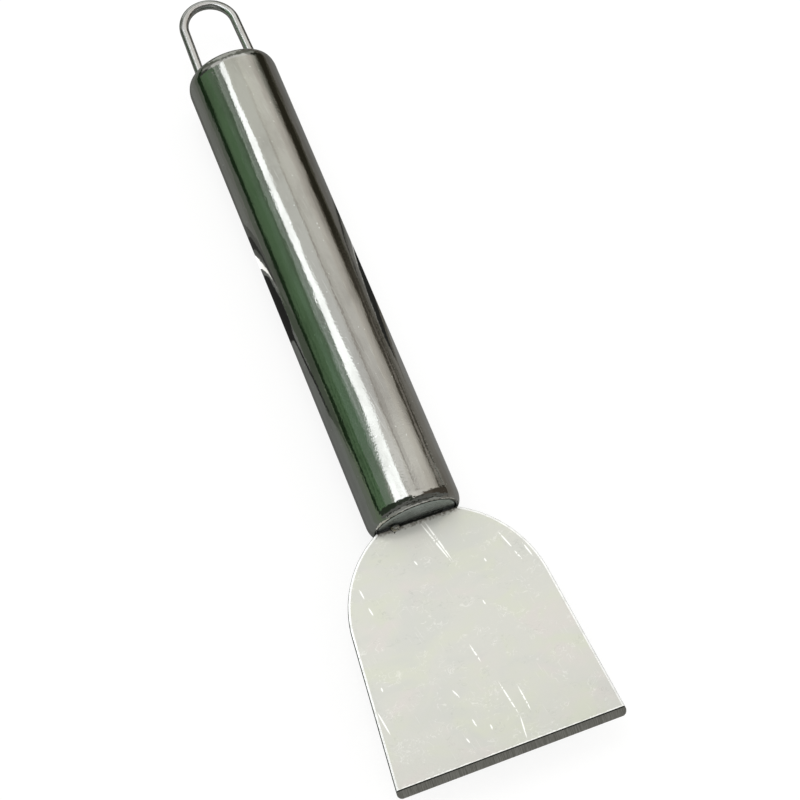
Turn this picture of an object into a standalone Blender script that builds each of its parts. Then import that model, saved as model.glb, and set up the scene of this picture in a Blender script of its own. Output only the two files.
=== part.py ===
"""Steel scraper: a polished tube handle with crimped end caps, a wire hanging loop and a flat flared blade.

The handle lies along Y, with the loop towards +Y and the blade towards -Y. The blade's plane is level and
holds the handle's axis, and the blade's ground bevel faces up. The origin is on the surface that the handle
lies on, below the middle of the whole scraper. All lengths are in metres.
"""

import math

import bmesh
import bpy
from mathutils import Vector

MM = 0.001

# Handle tube
HANDLE_LENGTH = 139.2 * MM
HANDLE_RADIUS = 12.5 * MM
TUBE_WALL = 0.8 * MM
END_ROLL_LENGTH = 3.4 * MM
END_ROLL_DEPTH = 1.5 * MM
TUBE_SIDES = 80
END_ROLL_STEPS = 8

# Clearance between pieces that touch, and how far a cutter runs past what it cuts
SEAT_GAP = 0.3 * MM
CUT_OVERRUN = 2.0 * MM

# End caps, pressed from sheet
CAP_THICKNESS = 0.8 * MM
CAP_RECESS = 0.2 * MM
CAP_CORNER_RADIUS = 0.6 * MM
CAP_SKIRT_LENGTH = 9.0 * MM
CAP_SIDES = 64
CAP_CORNER_STEPS = 4

# Hanging loop
WIRE_RADIUS = 1.3 * MM
LOOP_BEND_RADIUS = 7.3 * MM
LOOP_FOOT_OFFSET = 7.8 * MM
LOOP_LEG_LENGTH = 16.25 * MM
LOOP_BEND_STEPS = 28
WIRE_RESOLUTION = 6

# Blade
BLADE_REACH = 64.2 * MM
BLADE_THICKNESS = 1.2 * MM
BLADE_EDGE_WIDTH = 60.4 * MM
BLADE_SIDE_FLARE = math.radians(5.5)
BLADE_SHOULDER_RADIUS = 29.5 * MM
BLADE_CORNER_RADIUS = 1.3 * MM
BLADE_SHOULDER_STEPS = 20
BLADE_CORNER_STEPS = 5
BLADE_DEBURR = 0.12 * MM
GRIND_LENGTH = 2.1 * MM
GRIND_LAND = 0.2 * MM
TANG_WIDTH = 14.0 * MM
TANG_LENGTH = 28.0 * MM

# Weld beads
TANG_WELD_LENGTH = 10.0 * MM
TANG_WELD_RADIUS = 1.4 * MM
TANG_WELD_PITCH = 1.0 * MM
TANG_WELD_LOW_SHARE = 0.86
LOOP_WELD_RADIUS = 1.8 * MM
LOOP_WELD_HEIGHT = 1.2 * MM
TACK_WELD_RADIUS = 1.4 * MM
TACK_WELD_INSET = 1.0 * MM
WELD_SIDES = 20
WELD_RINGS = 10
WELD_RESOLUTION = 3

# Worked out from the sizes above
TUBE_LIP_RADIUS = HANDLE_RADIUS - END_ROLL_DEPTH
CAP_PANEL_RADIUS = TUBE_LIP_RADIUS - SEAT_GAP
CAP_SKIRT_RADIUS = HANDLE_RADIUS - TUBE_WALL - SEAT_GAP
CAP_INNER_DEPTH = CAP_RECESS + CAP_THICKNESS
LOOP_REACH = LOOP_LEG_LENGTH + LOOP_BEND_RADIUS + WIRE_RADIUS
HANDLE_START_Y = (BLADE_REACH - HANDLE_LENGTH - LOOP_REACH) / 2
HANDLE_AXIS_Z = HANDLE_RADIUS * math.cos(math.pi / TUBE_SIDES)
BLADE_ROOT_Y = CAP_RECESS - SEAT_GAP

# Turns that lay a turned piece's axis along the handle
AXIS_TO_LOOP = (math.radians(-90), 0, 0)
AXIS_TO_BLADE = (math.radians(90), 0, 0)

MERGE_DISTANCE = 0.01 * MM
SHARP_ANGLE = math.radians(35)
FLAT_ANGLE = math.radians(1)


def clear_scene():
    for obj in list(bpy.data.objects):
        bpy.data.objects.remove(obj, do_unlink=True)


def new_collection(name):
    collection = bpy.data.collections.new(name)
    bpy.context.scene.collection.children.link(collection)
    return collection


def new_object(name, data, collection, parent, location=(0, 0, 0), rotation=(0, 0, 0)):
    obj = bpy.data.objects.new(name, data)
    collection.objects.link(obj)
    obj.parent = parent
    obj.location = location
    obj.rotation_euler = rotation
    return obj


def steel(name, colour, roughness):
    """A bare steel surface."""
    material = bpy.data.materials.new(name)
    material.use_nodes = True
    shader = material.node_tree.nodes["Principled BSDF"]
    shader.inputs["Base Color"].default_value = (*colour, 1)
    shader.inputs["Roughness"].default_value = roughness
    shader.inputs["Metallic"].default_value = 1
    return material


def evaluated_mesh(obj):
    """The object's mesh after its modifiers, or its curve as a mesh, with loose caps joined on."""
    bpy.context.view_layer.update()
    graph = bpy.context.evaluated_depsgraph_get()
    mesh = bpy.data.meshes.new_from_object(obj.evaluated_get(graph))
    work = bmesh.new()
    work.from_mesh(mesh)
    bmesh.ops.remove_doubles(work, verts=work.verts, dist=MERGE_DISTANCE)
    work.to_mesh(mesh)
    work.free()
    mesh.name = obj.name
    return mesh


def curve_to_mesh(obj, collection):
    """Replace a curve by its mesh, so that it can be cut."""
    mesh = evaluated_mesh(obj)
    name = obj.name
    parent = obj.parent
    placed = obj.matrix_world.copy()
    bpy.data.objects.remove(obj, do_unlink=True)
    solid = new_object(name, mesh, collection, parent)
    solid.matrix_world = placed
    return solid


def finish(obj, material):
    """Keep the shape that the modifiers give, shade its round surfaces smooth and give it its surface."""
    mesh = evaluated_mesh(obj)
    obj.modifiers.clear()
    obj.data = mesh
    mesh.shade_smooth()
    mesh.set_sharp_from_angle(angle=SHARP_ANGLE)
    mesh.materials.clear()
    mesh.materials.append(material)


def turned(name, profile, closed, sides, collection, parent, location, rotation):
    """A piece turned about its own Z from (radius, height) points, its outer side running down."""
    mesh = bpy.data.meshes.new(name)
    vertices = [(radius, 0, height) for radius, height in profile]
    edges = [(i, i + 1) for i in range(len(vertices) - 1)]
    if closed:
        edges.append((len(vertices) - 1, 0))
    mesh.from_pydata(vertices, edges, [])
    obj = new_object(name, mesh, collection, parent, location, rotation)
    screw = obj.modifiers.new("turn", "SCREW")
    screw.angle = math.tau
    screw.steps = sides
    screw.render_steps = sides
    screw.use_merge_vertices = True
    screw.merge_threshold = MERGE_DISTANCE
    return obj


def box_cutter(name, low, high, collection, parent, rotation=(0, 0, 0), pivot=(0, 0, 0)):
    """A block between two corners that are given from its pivot."""
    low = Vector(low)
    high = Vector(high)
    mesh = bpy.data.meshes.new(name)
    work = bmesh.new()
    bmesh.ops.create_cube(work, size=1)
    bmesh.ops.scale(work, vec=high - low, verts=work.verts)
    bmesh.ops.translate(work, vec=(high + low) / 2, verts=work.verts)
    work.to_mesh(mesh)
    work.free()
    return hide_cutter(new_object(name, mesh, collection, parent, pivot, rotation))


def hide_cutter(obj):
    obj.hide_render = True
    obj.display_type = "WIRE"
    return obj


def cut(obj, cutter, operation="DIFFERENCE"):
    boolean = obj.modifiers.new(cutter.name, "BOOLEAN")
    boolean.operation = operation
    boolean.solver = "EXACT"
    boolean.object = cutter


def quarter_ellipse(centre, radial, axial, steps):
    """Points from the widest radius in to the end face, towards lower heights."""
    points = []
    for step in range(steps + 1):
        angle = math.pi / 2 * step / steps
        points.append((centre[0] + radial * math.cos(angle), centre[1] - axial * math.sin(angle)))
    return points


def end_roll(inset):
    """The tube end's spun-in curve at a depth below the outer surface, from the straight wall to the lip."""
    centre = (TUBE_LIP_RADIUS, END_ROLL_LENGTH)
    return quarter_ellipse(centre, END_ROLL_DEPTH - inset, END_ROLL_LENGTH - inset, END_ROLL_STEPS)


def handle_tube(collection, parent):
    """Thin tube, open at both ends, whose wall curls in to a lip that holds the end cap."""
    outer = end_roll(0)
    inner = end_roll(TUBE_WALL)
    profile = [(radius, HANDLE_LENGTH - depth) for radius, depth in reversed(outer)]
    profile += outer
    profile += reversed(inner)
    profile += [(radius, HANDLE_LENGTH - depth) for radius, depth in inner]
    half_side = math.pi / TUBE_SIDES
    rotation = (AXIS_TO_LOOP[0], half_side, 0)
    return turned("handle_tube", profile, True, TUBE_SIDES, collection, parent, (0, 0, 0), rotation)


def cap_profile():
    """Pressed cup: a panel that stands up inside the lip, a ledge under it and a skirt down the tube."""
    inner_corner_radius = CAP_PANEL_RADIUS - CAP_THICKNESS
    skirt_inner_radius = CAP_SKIRT_RADIUS - CAP_THICKNESS
    inner_corner = quarter_ellipse(
        (inner_corner_radius, END_ROLL_LENGTH),
        skirt_inner_radius - inner_corner_radius,
        END_ROLL_LENGTH - CAP_INNER_DEPTH,
        CAP_CORNER_STEPS,
    )
    panel_corner = quarter_ellipse(
        (CAP_PANEL_RADIUS - CAP_CORNER_RADIUS, CAP_RECESS + CAP_CORNER_RADIUS),
        CAP_CORNER_RADIUS,
        CAP_CORNER_RADIUS,
        CAP_CORNER_STEPS,
    )
    profile = [(0, CAP_INNER_DEPTH)]
    profile += reversed(inner_corner)
    profile += [(skirt_inner_radius, CAP_SKIRT_LENGTH), (CAP_SKIRT_RADIUS, CAP_SKIRT_LENGTH)]
    profile += end_roll(TUBE_WALL + SEAT_GAP)
    profile.append((CAP_PANEL_RADIUS, TUBE_WALL + SEAT_GAP))
    profile += panel_corner
    profile.append((0, CAP_RECESS))
    return profile


def blade_end_cap(collection, cutters, parent):
    """Lower cap, with the slot that the blade's tang goes through."""
    cap = turned("blade_end_cap", cap_profile(), False, CAP_SIDES, collection, parent, (0, 0, 0), AXIS_TO_LOOP)
    half_width = TANG_WIDTH / 2 + SEAT_GAP
    half_height = BLADE_THICKNESS / 2 + SEAT_GAP
    slot = box_cutter(
        "tang_slot_cutter",
        (-half_width, CAP_RECESS - CUT_OVERRUN, -half_height),
        (half_width, CAP_INNER_DEPTH + CUT_OVERRUN, half_height),
        cutters,
        parent,
    )
    cut(cap, slot)
    return cap


def loop_end_cap(collection, cutters, parent):
    """Upper cap, with a round hole for each leg of the hanging loop."""
    location = (0, HANDLE_LENGTH, 0)
    cap = turned("loop_end_cap", cap_profile(), False, CAP_SIDES, collection, parent, location, AXIS_TO_BLADE)
    hole_radius = WIRE_RADIUS + SEAT_GAP
    for side, label in ((-1, "left"), (1, "right")):
        mesh = bpy.data.meshes.new("leg_hole")
        work = bmesh.new()
        bmesh.ops.create_cone(
            work,
            cap_ends=True,
            segments=WELD_SIDES,
            radius1=hole_radius,
            radius2=hole_radius,
            depth=CAP_THICKNESS + 2 * CUT_OVERRUN,
        )
        work.to_mesh(mesh)
        work.free()
        middle = HANDLE_LENGTH - CAP_RECESS - CAP_THICKNESS / 2
        place = (side * LOOP_FOOT_OFFSET, middle, 0)
        hole = new_object(f"leg_hole_cutter_{label}", mesh, cutters, parent, place, AXIS_TO_BLADE)
        cut(cap, hide_cutter(hole))
    return cap


def loop_path():
    """Centre line of the wire: up the left leg, which leans in a little, round the bend and down the right leg."""
    leg_end = HANDLE_LENGTH - CAP_INNER_DEPTH
    bend_centre = HANDLE_LENGTH + LOOP_LEG_LENGTH
    points = [(-LOOP_FOOT_OFFSET, leg_end, 0)]
    for step in range(LOOP_BEND_STEPS + 1):
        angle = math.pi - math.pi * step / LOOP_BEND_STEPS
        across = LOOP_BEND_RADIUS * math.cos(angle)
        along = bend_centre + LOOP_BEND_RADIUS * math.sin(angle)
        points.append((across, along, 0))
    points.append((LOOP_FOOT_OFFSET, leg_end, 0))
    return points


def wire_curve(name, points, radii, depth, resolution, collection, parent, location=(0, 0, 0)):
    """A round wire along straight runs between points, with a share of its full radius at each one."""
    curve = bpy.data.curves.new(name, "CURVE")
    curve.dimensions = "3D"
    curve.bevel_depth = depth
    curve.bevel_resolution = resolution
    curve.use_fill_caps = True
    spline = curve.splines.new("POLY")
    spline.points.add(len(points) - 1)
    for target, point, radius in zip(spline.points, points, radii):
        target.co = (*point, 1)
        target.radius = radius
    return new_object(name, curve, collection, parent, location)


def hanging_loop(collection, parent):
    """Round wire bent to a U, both legs ending flush with the inside of the upper cap."""
    path = loop_path()
    radii = [1] * len(path)
    wire = wire_curve("hanging_loop", path, radii, WIRE_RADIUS, WIRE_RESOLUTION, collection, parent)
    return curve_to_mesh(wire, collection)


def blade_half_outline():
    """The blade's right half, from the tang's end round the shoulder to the cutting edge."""
    side_normal = Vector((math.cos(BLADE_SIDE_FLARE), math.sin(BLADE_SIDE_FLARE)))
    side_up = Vector((-math.sin(BLADE_SIDE_FLARE), math.cos(BLADE_SIDE_FLARE)))
    edge_corner = Vector((BLADE_EDGE_WIDTH / 2, -BLADE_REACH))
    root = Vector((CAP_PANEL_RADIUS, 0))
    # The shoulder's arc touches the flared side and passes through the root at the tube's lip.
    reach = edge_corner - side_normal * BLADE_SHOULDER_RADIUS - root
    along = reach.dot(side_up)
    rise = -along - math.sqrt(along**2 - reach.length_squared + BLADE_SHOULDER_RADIUS**2)
    centre = edge_corner + side_up * rise - side_normal * BLADE_SHOULDER_RADIUS
    start = math.asin((BLADE_ROOT_Y - centre.y) / BLADE_SHOULDER_RADIUS)
    points = [(TANG_WIDTH / 2, TANG_LENGTH), (TANG_WIDTH / 2, BLADE_ROOT_Y)]
    for step in range(BLADE_SHOULDER_STEPS + 1):
        angle = start + (BLADE_SIDE_FLARE - start) * step / BLADE_SHOULDER_STEPS
        points.append(
            (
                centre.x + BLADE_SHOULDER_RADIUS * math.cos(angle),
                centre.y + BLADE_SHOULDER_RADIUS * math.sin(angle),
            )
        )
    corner_y = BLADE_CORNER_RADIUS - BLADE_REACH
    inward = BLADE_CORNER_RADIUS + side_normal.y * BLADE_CORNER_RADIUS
    corner_x = edge_corner.x - inward / side_normal.x
    for step in range(BLADE_CORNER_STEPS + 1):
        angle = BLADE_SIDE_FLARE - (BLADE_SIDE_FLARE + math.pi / 2) * step / BLADE_CORNER_STEPS
        points.append(
            (
                corner_x + BLADE_CORNER_RADIUS * math.cos(angle),
                corner_y + BLADE_CORNER_RADIUS * math.sin(angle),
            )
        )
    return points


def blade(collection, cutters, parent):
    """Flat plate with its tang, lightly deburred all round, then ground on the front along the edge."""
    right = blade_half_outline()
    outline = right + [(-x, y) for x, y in reversed(right)]
    curve = bpy.data.curves.new("blade", "CURVE")
    curve.dimensions = "2D"
    curve.fill_mode = "BOTH"
    curve.extrude = BLADE_THICKNESS / 2
    spline = curve.splines.new("POLY")
    spline.points.add(len(outline) - 1)
    for target, point in zip(spline.points, outline):
        target.co = (*point, 0, 1)
    spline.use_cyclic_u = True
    plate = curve_to_mesh(new_object("blade", curve, collection, parent), collection)
    split_at_handle(plate.data)
    deburr = plate.modifiers.new("deburr", "BEVEL")
    deburr.width = BLADE_DEBURR
    deburr.segments = 1
    deburr.limit_method = "ANGLE"
    deburr.angle_limit = SHARP_ANGLE
    cut(plate, grind_cutter(cutters, parent))
    return plate


def split_at_handle(mesh):
    """Divide the plate's faces where it leaves the handle, so that its open part is a face of its own."""
    work = bmesh.new()
    work.from_mesh(mesh)
    bmesh.ops.dissolve_limit(work, angle_limit=FLAT_ANGLE, verts=work.verts, edges=work.edges)
    geometry = list(work.verts) + list(work.edges) + list(work.faces)
    bmesh.ops.bisect_plane(work, geom=geometry, plane_co=(0, 0, 0), plane_no=(0, 1, 0))
    work.to_mesh(mesh)
    work.free()


def grind_cutter(cutters, parent):
    """The block that the grinding takes away: its lower face runs from the plate's front to the edge's land."""
    drop = BLADE_THICKNESS - GRIND_LAND
    angle = math.atan2(drop, GRIND_LENGTH)
    slope = math.hypot(drop, GRIND_LENGTH)
    half_width = BLADE_EDGE_WIDTH / 2 + CUT_OVERRUN
    pivot = (0, GRIND_LENGTH - BLADE_REACH, BLADE_THICKNESS / 2)
    low = (-half_width, -slope - CUT_OVERRUN, 0)
    high = (half_width, CUT_OVERRUN, BLADE_THICKNESS + CUT_OVERRUN)
    return box_cutter("grind_cutter", low, high, cutters, parent, (angle, 0, 0), pivot)


def tang_weld(label, side, collection, cutters, parent):
    """A rippled bead in the corner between the tang's face and the inside of the lower cap."""
    steps = 2 * round(TANG_WELD_LENGTH / TANG_WELD_PITCH)
    points = []
    radii = []
    for step in range(steps + 1):
        points.append((TANG_WELD_LENGTH * (step / steps - 0.5), 0, 0))
        radii.append(TANG_WELD_LOW_SHARE if step % 2 == 0 else 1)
    seat_y = CAP_INNER_DEPTH + SEAT_GAP
    seat_z = BLADE_THICKNESS / 2 + SEAT_GAP
    place = (0, seat_y, side * seat_z)
    name = f"tang_weld_{label}"
    wire = wire_curve(name, points, radii, TANG_WELD_RADIUS, WELD_RESOLUTION, collection, parent, place)
    bead = curve_to_mesh(wire, collection)
    half_length = TANG_WELD_LENGTH / 2 + CUT_OVERRUN
    depth = TANG_WELD_RADIUS + CUT_OVERRUN
    low = (-half_length, 0, min(0, side * depth))
    high = (half_length, depth, max(0, side * depth))
    corner = box_cutter(f"tang_weld_cutter_{label}", low, high, cutters, parent, pivot=place)
    cut(bead, corner, "INTERSECT")
    return bead


def loop_weld(label, side, collection, parent):
    """A low round button of weld over the end of one leg of the loop."""
    dome = quarter_ellipse((0, 0), LOOP_WELD_RADIUS, -LOOP_WELD_HEIGHT, WELD_RINGS)
    profile = list(reversed(dome)) + [(0, 0)]
    place = (side * LOOP_FOOT_OFFSET, HANDLE_LENGTH - CAP_INNER_DEPTH - SEAT_GAP, 0)
    name = f"loop_weld_{label}"
    return turned(name, profile, False, WELD_SIDES, collection, parent, place, AXIS_TO_BLADE)


def tack_weld(collection, cutters, parent):
    """A small bead near the left end of the slot, in the corner between the cap and the blade's front."""
    mesh = bpy.data.meshes.new("tack_weld")
    work = bmesh.new()
    bmesh.ops.create_uvsphere(work, u_segments=WELD_SIDES, v_segments=WELD_RINGS, radius=TACK_WELD_RADIUS)
    work.to_mesh(mesh)
    work.free()
    place = (TACK_WELD_INSET - TANG_WIDTH / 2, BLADE_ROOT_Y, BLADE_THICKNESS / 2 + SEAT_GAP)
    bead = new_object("tack_weld", mesh, collection, parent, place)
    reach = TACK_WELD_RADIUS + CUT_OVERRUN
    corner = box_cutter("tack_weld_cutter", (-reach, -reach, 0), (reach, 0, reach), cutters, parent, pivot=place)
    cut(bead, corner, "INTERSECT")
    return bead


def main():
    clear_scene()
    parts = new_collection("steel_scraper")
    cutters = new_collection("cutters")
    axis = new_object("handle_axis", None, parts, None, (0, HANDLE_START_Y, HANDLE_AXIS_Z))
    polished = (0.60, 0.60, 0.57)
    bright = (0.72, 0.72, 0.70)
    sheet = (0.66, 0.67, 0.62)
    welded = (0.45, 0.45, 0.42)
    finish(handle_tube(parts, axis), steel("polished_tube", polished, 0.06))
    finish(blade_end_cap(parts, cutters, axis), steel("blade_cap_steel", polished, 0.18))
    finish(loop_end_cap(parts, cutters, axis), steel("loop_cap_steel", polished, 0.18))
    finish(hanging_loop(parts, axis), steel("bright_wire", bright, 0.12))
    finish(blade(parts, cutters, axis), steel("blade_sheet", sheet, 0.34))
    finish(tang_weld("front", 1, parts, cutters, axis), steel("tang_weld_front_metal", welded, 0.5))
    finish(tang_weld("back", -1, parts, cutters, axis), steel("tang_weld_back_metal", welded, 0.5))
    finish(loop_weld("left", -1, parts, axis), steel("loop_weld_left_metal", welded, 0.5))
    finish(loop_weld("right", 1, parts, axis), steel("loop_weld_right_metal", welded, 0.5))
    finish(tack_weld(parts, cutters, axis), steel("tack_weld_metal", bright, 0.3))


if __name__ == "__main__":
    main()
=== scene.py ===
"""Looks of the steel scraper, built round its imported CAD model.

The tube, its two pressed caps, the wire loop, the blade and its tack weld are modelled here in the places
of their CAD solids. The four welds inside the tube keep their solids and get a weld finish. Lengths are in
metres unless a docstring says millimetres, and places on the scraper are given from the middle of the
handle's lower end.
"""

import logging
import math
from collections.abc import Callable
from dataclasses import dataclass
from enum import Enum

import bpy
from mathutils import Matrix, Vector


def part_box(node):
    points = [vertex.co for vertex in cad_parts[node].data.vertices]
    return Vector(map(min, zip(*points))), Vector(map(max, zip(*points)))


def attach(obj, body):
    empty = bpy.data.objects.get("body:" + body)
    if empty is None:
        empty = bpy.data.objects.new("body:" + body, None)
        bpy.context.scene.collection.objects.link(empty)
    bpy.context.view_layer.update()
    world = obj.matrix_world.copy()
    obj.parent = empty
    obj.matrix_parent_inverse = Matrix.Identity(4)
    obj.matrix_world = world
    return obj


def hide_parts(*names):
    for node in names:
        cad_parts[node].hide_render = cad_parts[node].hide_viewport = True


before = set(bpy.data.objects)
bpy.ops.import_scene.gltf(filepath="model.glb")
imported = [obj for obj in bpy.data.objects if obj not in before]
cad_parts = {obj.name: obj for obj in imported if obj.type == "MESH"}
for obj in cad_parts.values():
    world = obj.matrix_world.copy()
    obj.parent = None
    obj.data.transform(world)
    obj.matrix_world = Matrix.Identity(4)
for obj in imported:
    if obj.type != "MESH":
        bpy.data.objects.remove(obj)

MM = 0.001
MERGE = 0.002 * MM
LOG = logging.getLogger("steel_scraper")

Piece = bpy.types.Object
Material = bpy.types.Material
Socket = bpy.types.NodeSocket
Size = tuple[float, float, float]
Profile = list[tuple[float, float]]


class Side(Enum):
    """Left or right of the handle's axis, as the blade's front is seen with the edge down."""

    LEFT = -1
    RIGHT = 1


class HandleEnd(Enum):
    """The two ends of the handle tube, by the way that each one faces."""

    BLADE = -1
    LOOP = 1


# ---------------------------------------------------------------- modelling


def linear(colour: str) -> tuple[float, float, float, float]:
    """Turn an sRGB hex colour to linear light.

    Args:
        colour: The colour as "#rrggbb".

    Returns:
        Linear red, green and blue, and an alpha of 1.
    """
    shares = [int(colour[i : i + 2], 16) / 255 for i in (1, 3, 5)]
    light = [s / 12.92 if s <= 0.04045 else ((s + 0.055) / 1.055) ** 2.4 for s in shares]
    return (*light, 1.0)


def deselect() -> None:
    """Leave object mode with nothing selected, the CAD nodes included."""
    if bpy.context.mode != "OBJECT":
        leave_edit()
    bpy.ops.object.select_all(action="DESELECT")


def activate(piece: Piece) -> None:
    """Select one piece alone and make it the active one.

    Args:
        piece: The piece.
    """
    deselect()
    piece.select_set(True)
    bpy.context.view_layer.objects.active = piece


def edit(parts: str | None = None, action: str = "SELECT") -> None:
    """Enter edit mode with everything or nothing selected.

    Args:
        parts: What is selected from now on, "VERT", "EDGE" or "FACE".
        action: "SELECT" or "DESELECT".
    """
    bpy.ops.object.mode_set(mode="EDIT")
    if parts:
        bpy.ops.mesh.select_mode(type=parts)
    bpy.ops.mesh.select_all(action=action)


def leave_edit() -> None:
    """Go back to object mode."""
    bpy.ops.object.mode_set(mode="OBJECT")


def pick(piece: Piece, parts: str, wanted: Callable[[object], bool]) -> None:
    """Enter edit mode with only those points, edges or faces selected that pass a test.

    Args:
        piece: The active piece.
        parts: "VERT", "EDGE" or "FACE".
        wanted: The test of one point, edge or face.
    """
    edit(parts, "DESELECT")
    leave_edit()
    mesh = piece.data
    for part in {"VERT": mesh.vertices, "EDGE": mesh.edges, "FACE": mesh.polygons}[parts]:
        part.select = wanted(part)
    bpy.ops.object.mode_set(mode="EDIT")


def extrude(step: tuple[float, float, float]) -> None:
    """Extrude what is selected by one step."""
    bpy.ops.mesh.extrude_region_move(TRANSFORM_OT_translate={"value": step})


def named(name: str) -> Piece:
    """Name the object just added, and its mesh.

    Args:
        name: The name.

    Returns:
        The object.
    """
    piece = bpy.context.active_object
    piece.name = piece.data.name = name
    return piece


def keep_place() -> None:
    """Keep the active object's place, turn and size in its mesh."""
    bpy.ops.object.transform_apply(location=True, rotation=True, scale=True)


def seat(piece: Piece, place: Vector, turn: tuple[float, float, float] = (0.0, 0.0, 0.0)) -> None:
    """Put a piece in its place.

    Args:
        piece: The piece, modelled about its own origin.
        place: Where its origin goes, in the frame.
        turn: Its rotation about X, Y and Z, in radians.
    """
    activate(piece)
    piece.rotation_euler = turn
    piece.location = place
    keep_place()


def apply_modifiers(piece: Piece) -> None:
    """Apply each of a piece's modifiers, in their order.

    Args:
        piece: The piece.
    """
    activate(piece)
    for modifier in list(piece.modifiers):
        bpy.ops.object.modifier_apply(modifier=modifier.name)


def face_outwards(piece: Piece) -> None:
    """Merge a closed piece's doubled points and turn its faces outwards.

    Args:
        piece: The piece.
    """
    activate(piece)
    edit()
    bpy.ops.mesh.remove_doubles(threshold=MERGE)
    bpy.ops.mesh.normals_make_consistent(inside=False)
    leave_edit()


def smooth(piece: Piece, crease_deg: float) -> None:
    """Shade a piece smooth but for its edges that are sharper than an angle in degrees."""
    activate(piece)
    bpy.ops.object.shade_smooth_by_angle(angle=math.radians(crease_deg))


def turned(name: str, profile: Profile, sides: int, ring: bool) -> Piece:
    """Turn a profile about Z, ring by ring, as on a lathe.

    Args:
        name: The piece's name.
        profile: Radius and height of each ring, in their order.
        sides: How many sides each ring has.
        ring: True where the last ring joins the first one, and False where a face closes each end.

    Returns:
        The closed piece, about its own origin.
    """
    deselect()
    radius, height = profile[0]
    fill = "NOTHING" if ring else "NGON"
    bpy.ops.mesh.primitive_circle_add(vertices=sides, radius=radius, fill_type=fill, location=(0, 0, height))
    piece = named(name)
    keep_place()
    edit()
    for (old_radius, old_height), (radius, height) in zip(profile, profile[1:]):
        extrude((0, 0, height - old_height))
        share = radius / old_radius
        bpy.ops.transform.resize(value=(share, share, 1), center_override=(0, 0, height))
    if ring:
        edit("EDGE")
        bpy.ops.mesh.region_to_loop()
        bpy.ops.mesh.bridge_edge_loops()
    leave_edit()
    face_outwards(piece)
    return piece


def block(name: str, low: Vector, high: Vector) -> Piece:
    """Add a cutting block.

    Args:
        name: Its name.
        low: Its lowest corner.
        high: Its highest corner.

    Returns:
        The block.
    """
    deselect()
    bpy.ops.mesh.primitive_cube_add(size=1, location=(low + high) / 2)
    cutter = named(name)
    cutter.scale = high - low
    keep_place()
    return cutter


def drill(name: str, radius: float, low: Vector, length: float, sides: int = 64) -> Piece:
    """Add a round cutter that runs along Y.

    Args:
        name: Its name.
        radius: Its radius.
        low: The middle of its lower end.
        length: Its length.
        sides: How many sides it has.

    Returns:
        The cutter.
    """
    deselect()
    shape = {"vertices": sides, "radius": radius, "depth": length, "rotation": (math.pi / 2, 0, 0)}
    bpy.ops.mesh.primitive_cylinder_add(location=low + Vector((0, length / 2, 0)), **shape)
    cutter = named(name)
    keep_place()
    return cutter


def cut(piece: Piece, cutter: Piece) -> None:
    """Take a cutter's shape away from a piece and remove the cutter.

    Args:
        piece: The piece.
        cutter: The cutter, in place.
    """
    activate(piece)
    boolean = piece.modifiers.new("cut", "BOOLEAN")
    boolean.operation = "DIFFERENCE"
    boolean.solver = "EXACT"
    boolean.object = cutter
    bpy.ops.object.modifier_apply(modifier=boolean.name)
    bpy.data.objects.remove(cutter, do_unlink=True)


def curve_in(centre: tuple[float, float], radial: float, axial: float, steps: int) -> Profile:
    """Draw a quarter ellipse from its widest radius in to its lowest height.

    Args:
        centre: The ellipse's centre, as radius and height.
        radial: Its half axis along the radius.
        axial: Its half axis along the height.
        steps: How many straight steps it has.

    Returns:
        Radius and height of each point.
    """
    angles = [math.pi / 2 * step / steps for step in range(steps + 1)]
    return [(centre[0] + radial * math.cos(a), centre[1] - axial * math.sin(a)) for a in angles]


# ---------------------------------------------------------------- finishes


def add_node(
    tree: bpy.types.NodeTree, kind: str, settings: dict[str, object] | None = None, links: dict | None = None
) -> bpy.types.Node:
    """Add a node with its settings and links.

    Args:
        tree: The node tree.
        kind: The node's type.
        settings: The node's own settings by name.
        links: For an input's name or number, the output that feeds it, or its fixed value.

    Returns:
        The new node.
    """
    node = tree.nodes.new(kind)
    for name, value in (settings or {}).items():
        setattr(node, name, value)
    for name, value in (links or {}).items():
        if isinstance(value, Socket):
            tree.links.new(value, node.inputs[name])
        else:
            node.inputs[name].default_value = value
    return node


@dataclass(frozen=True)
class Noise:
    """One pattern of noise with features of a real size.

    Its size is the features' length along X, Y and Z in millimetres, and its levels are those that give 0
    and 1. Detail is the number of finer layers, turn_deg the turn about Z, shift how far the pattern is
    moved, so that no two are alike, and curl how far the features are curled up.
    """

    ROUGHNESS = 0.55

    size: Size
    levels: tuple[float, float]
    detail: float = 3.0
    turn_deg: float = 0.0
    shift: float = 0.0
    curl: float = 0.0

    def add(self, tree: bpy.types.NodeTree, place: Socket) -> Socket:
        """Add the pattern to a node tree.

        Args:
            tree: The node tree.
            place: The coordinates.

        Returns:
            The pattern's value, from 0 to 1.
        """
        turn = {"Rotation": (0, 0, math.radians(self.turn_deg)), "Scale": [side * MM for side in self.size]}
        turn |= {"Location": [self.shift] * 3, "Vector": place}
        mapping = add_node(tree, "ShaderNodeMapping", {"vector_type": "TEXTURE"}, turn)
        shape = {"Scale": 1.0, "Detail": self.detail, "Roughness": self.ROUGHNESS, "Distortion": self.curl}
        noise = add_node(tree, "ShaderNodeTexNoise", None, {"Vector": mapping.outputs[0], **shape})
        limits = {"From Min": self.levels[0], "From Max": self.levels[1], "Value": noise.outputs["Fac"]}
        return add_node(tree, "ShaderNodeMapRange", {"interpolation_type": "SMOOTHSTEP"}, limits).outputs[0]


@dataclass(frozen=True)
class Mark:
    """One scratch: its middle, length and width in millimetres, and its lean from the handle's axis."""

    across: float
    along: float
    length: float
    lean_deg: float
    width: float = 0.26


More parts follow.
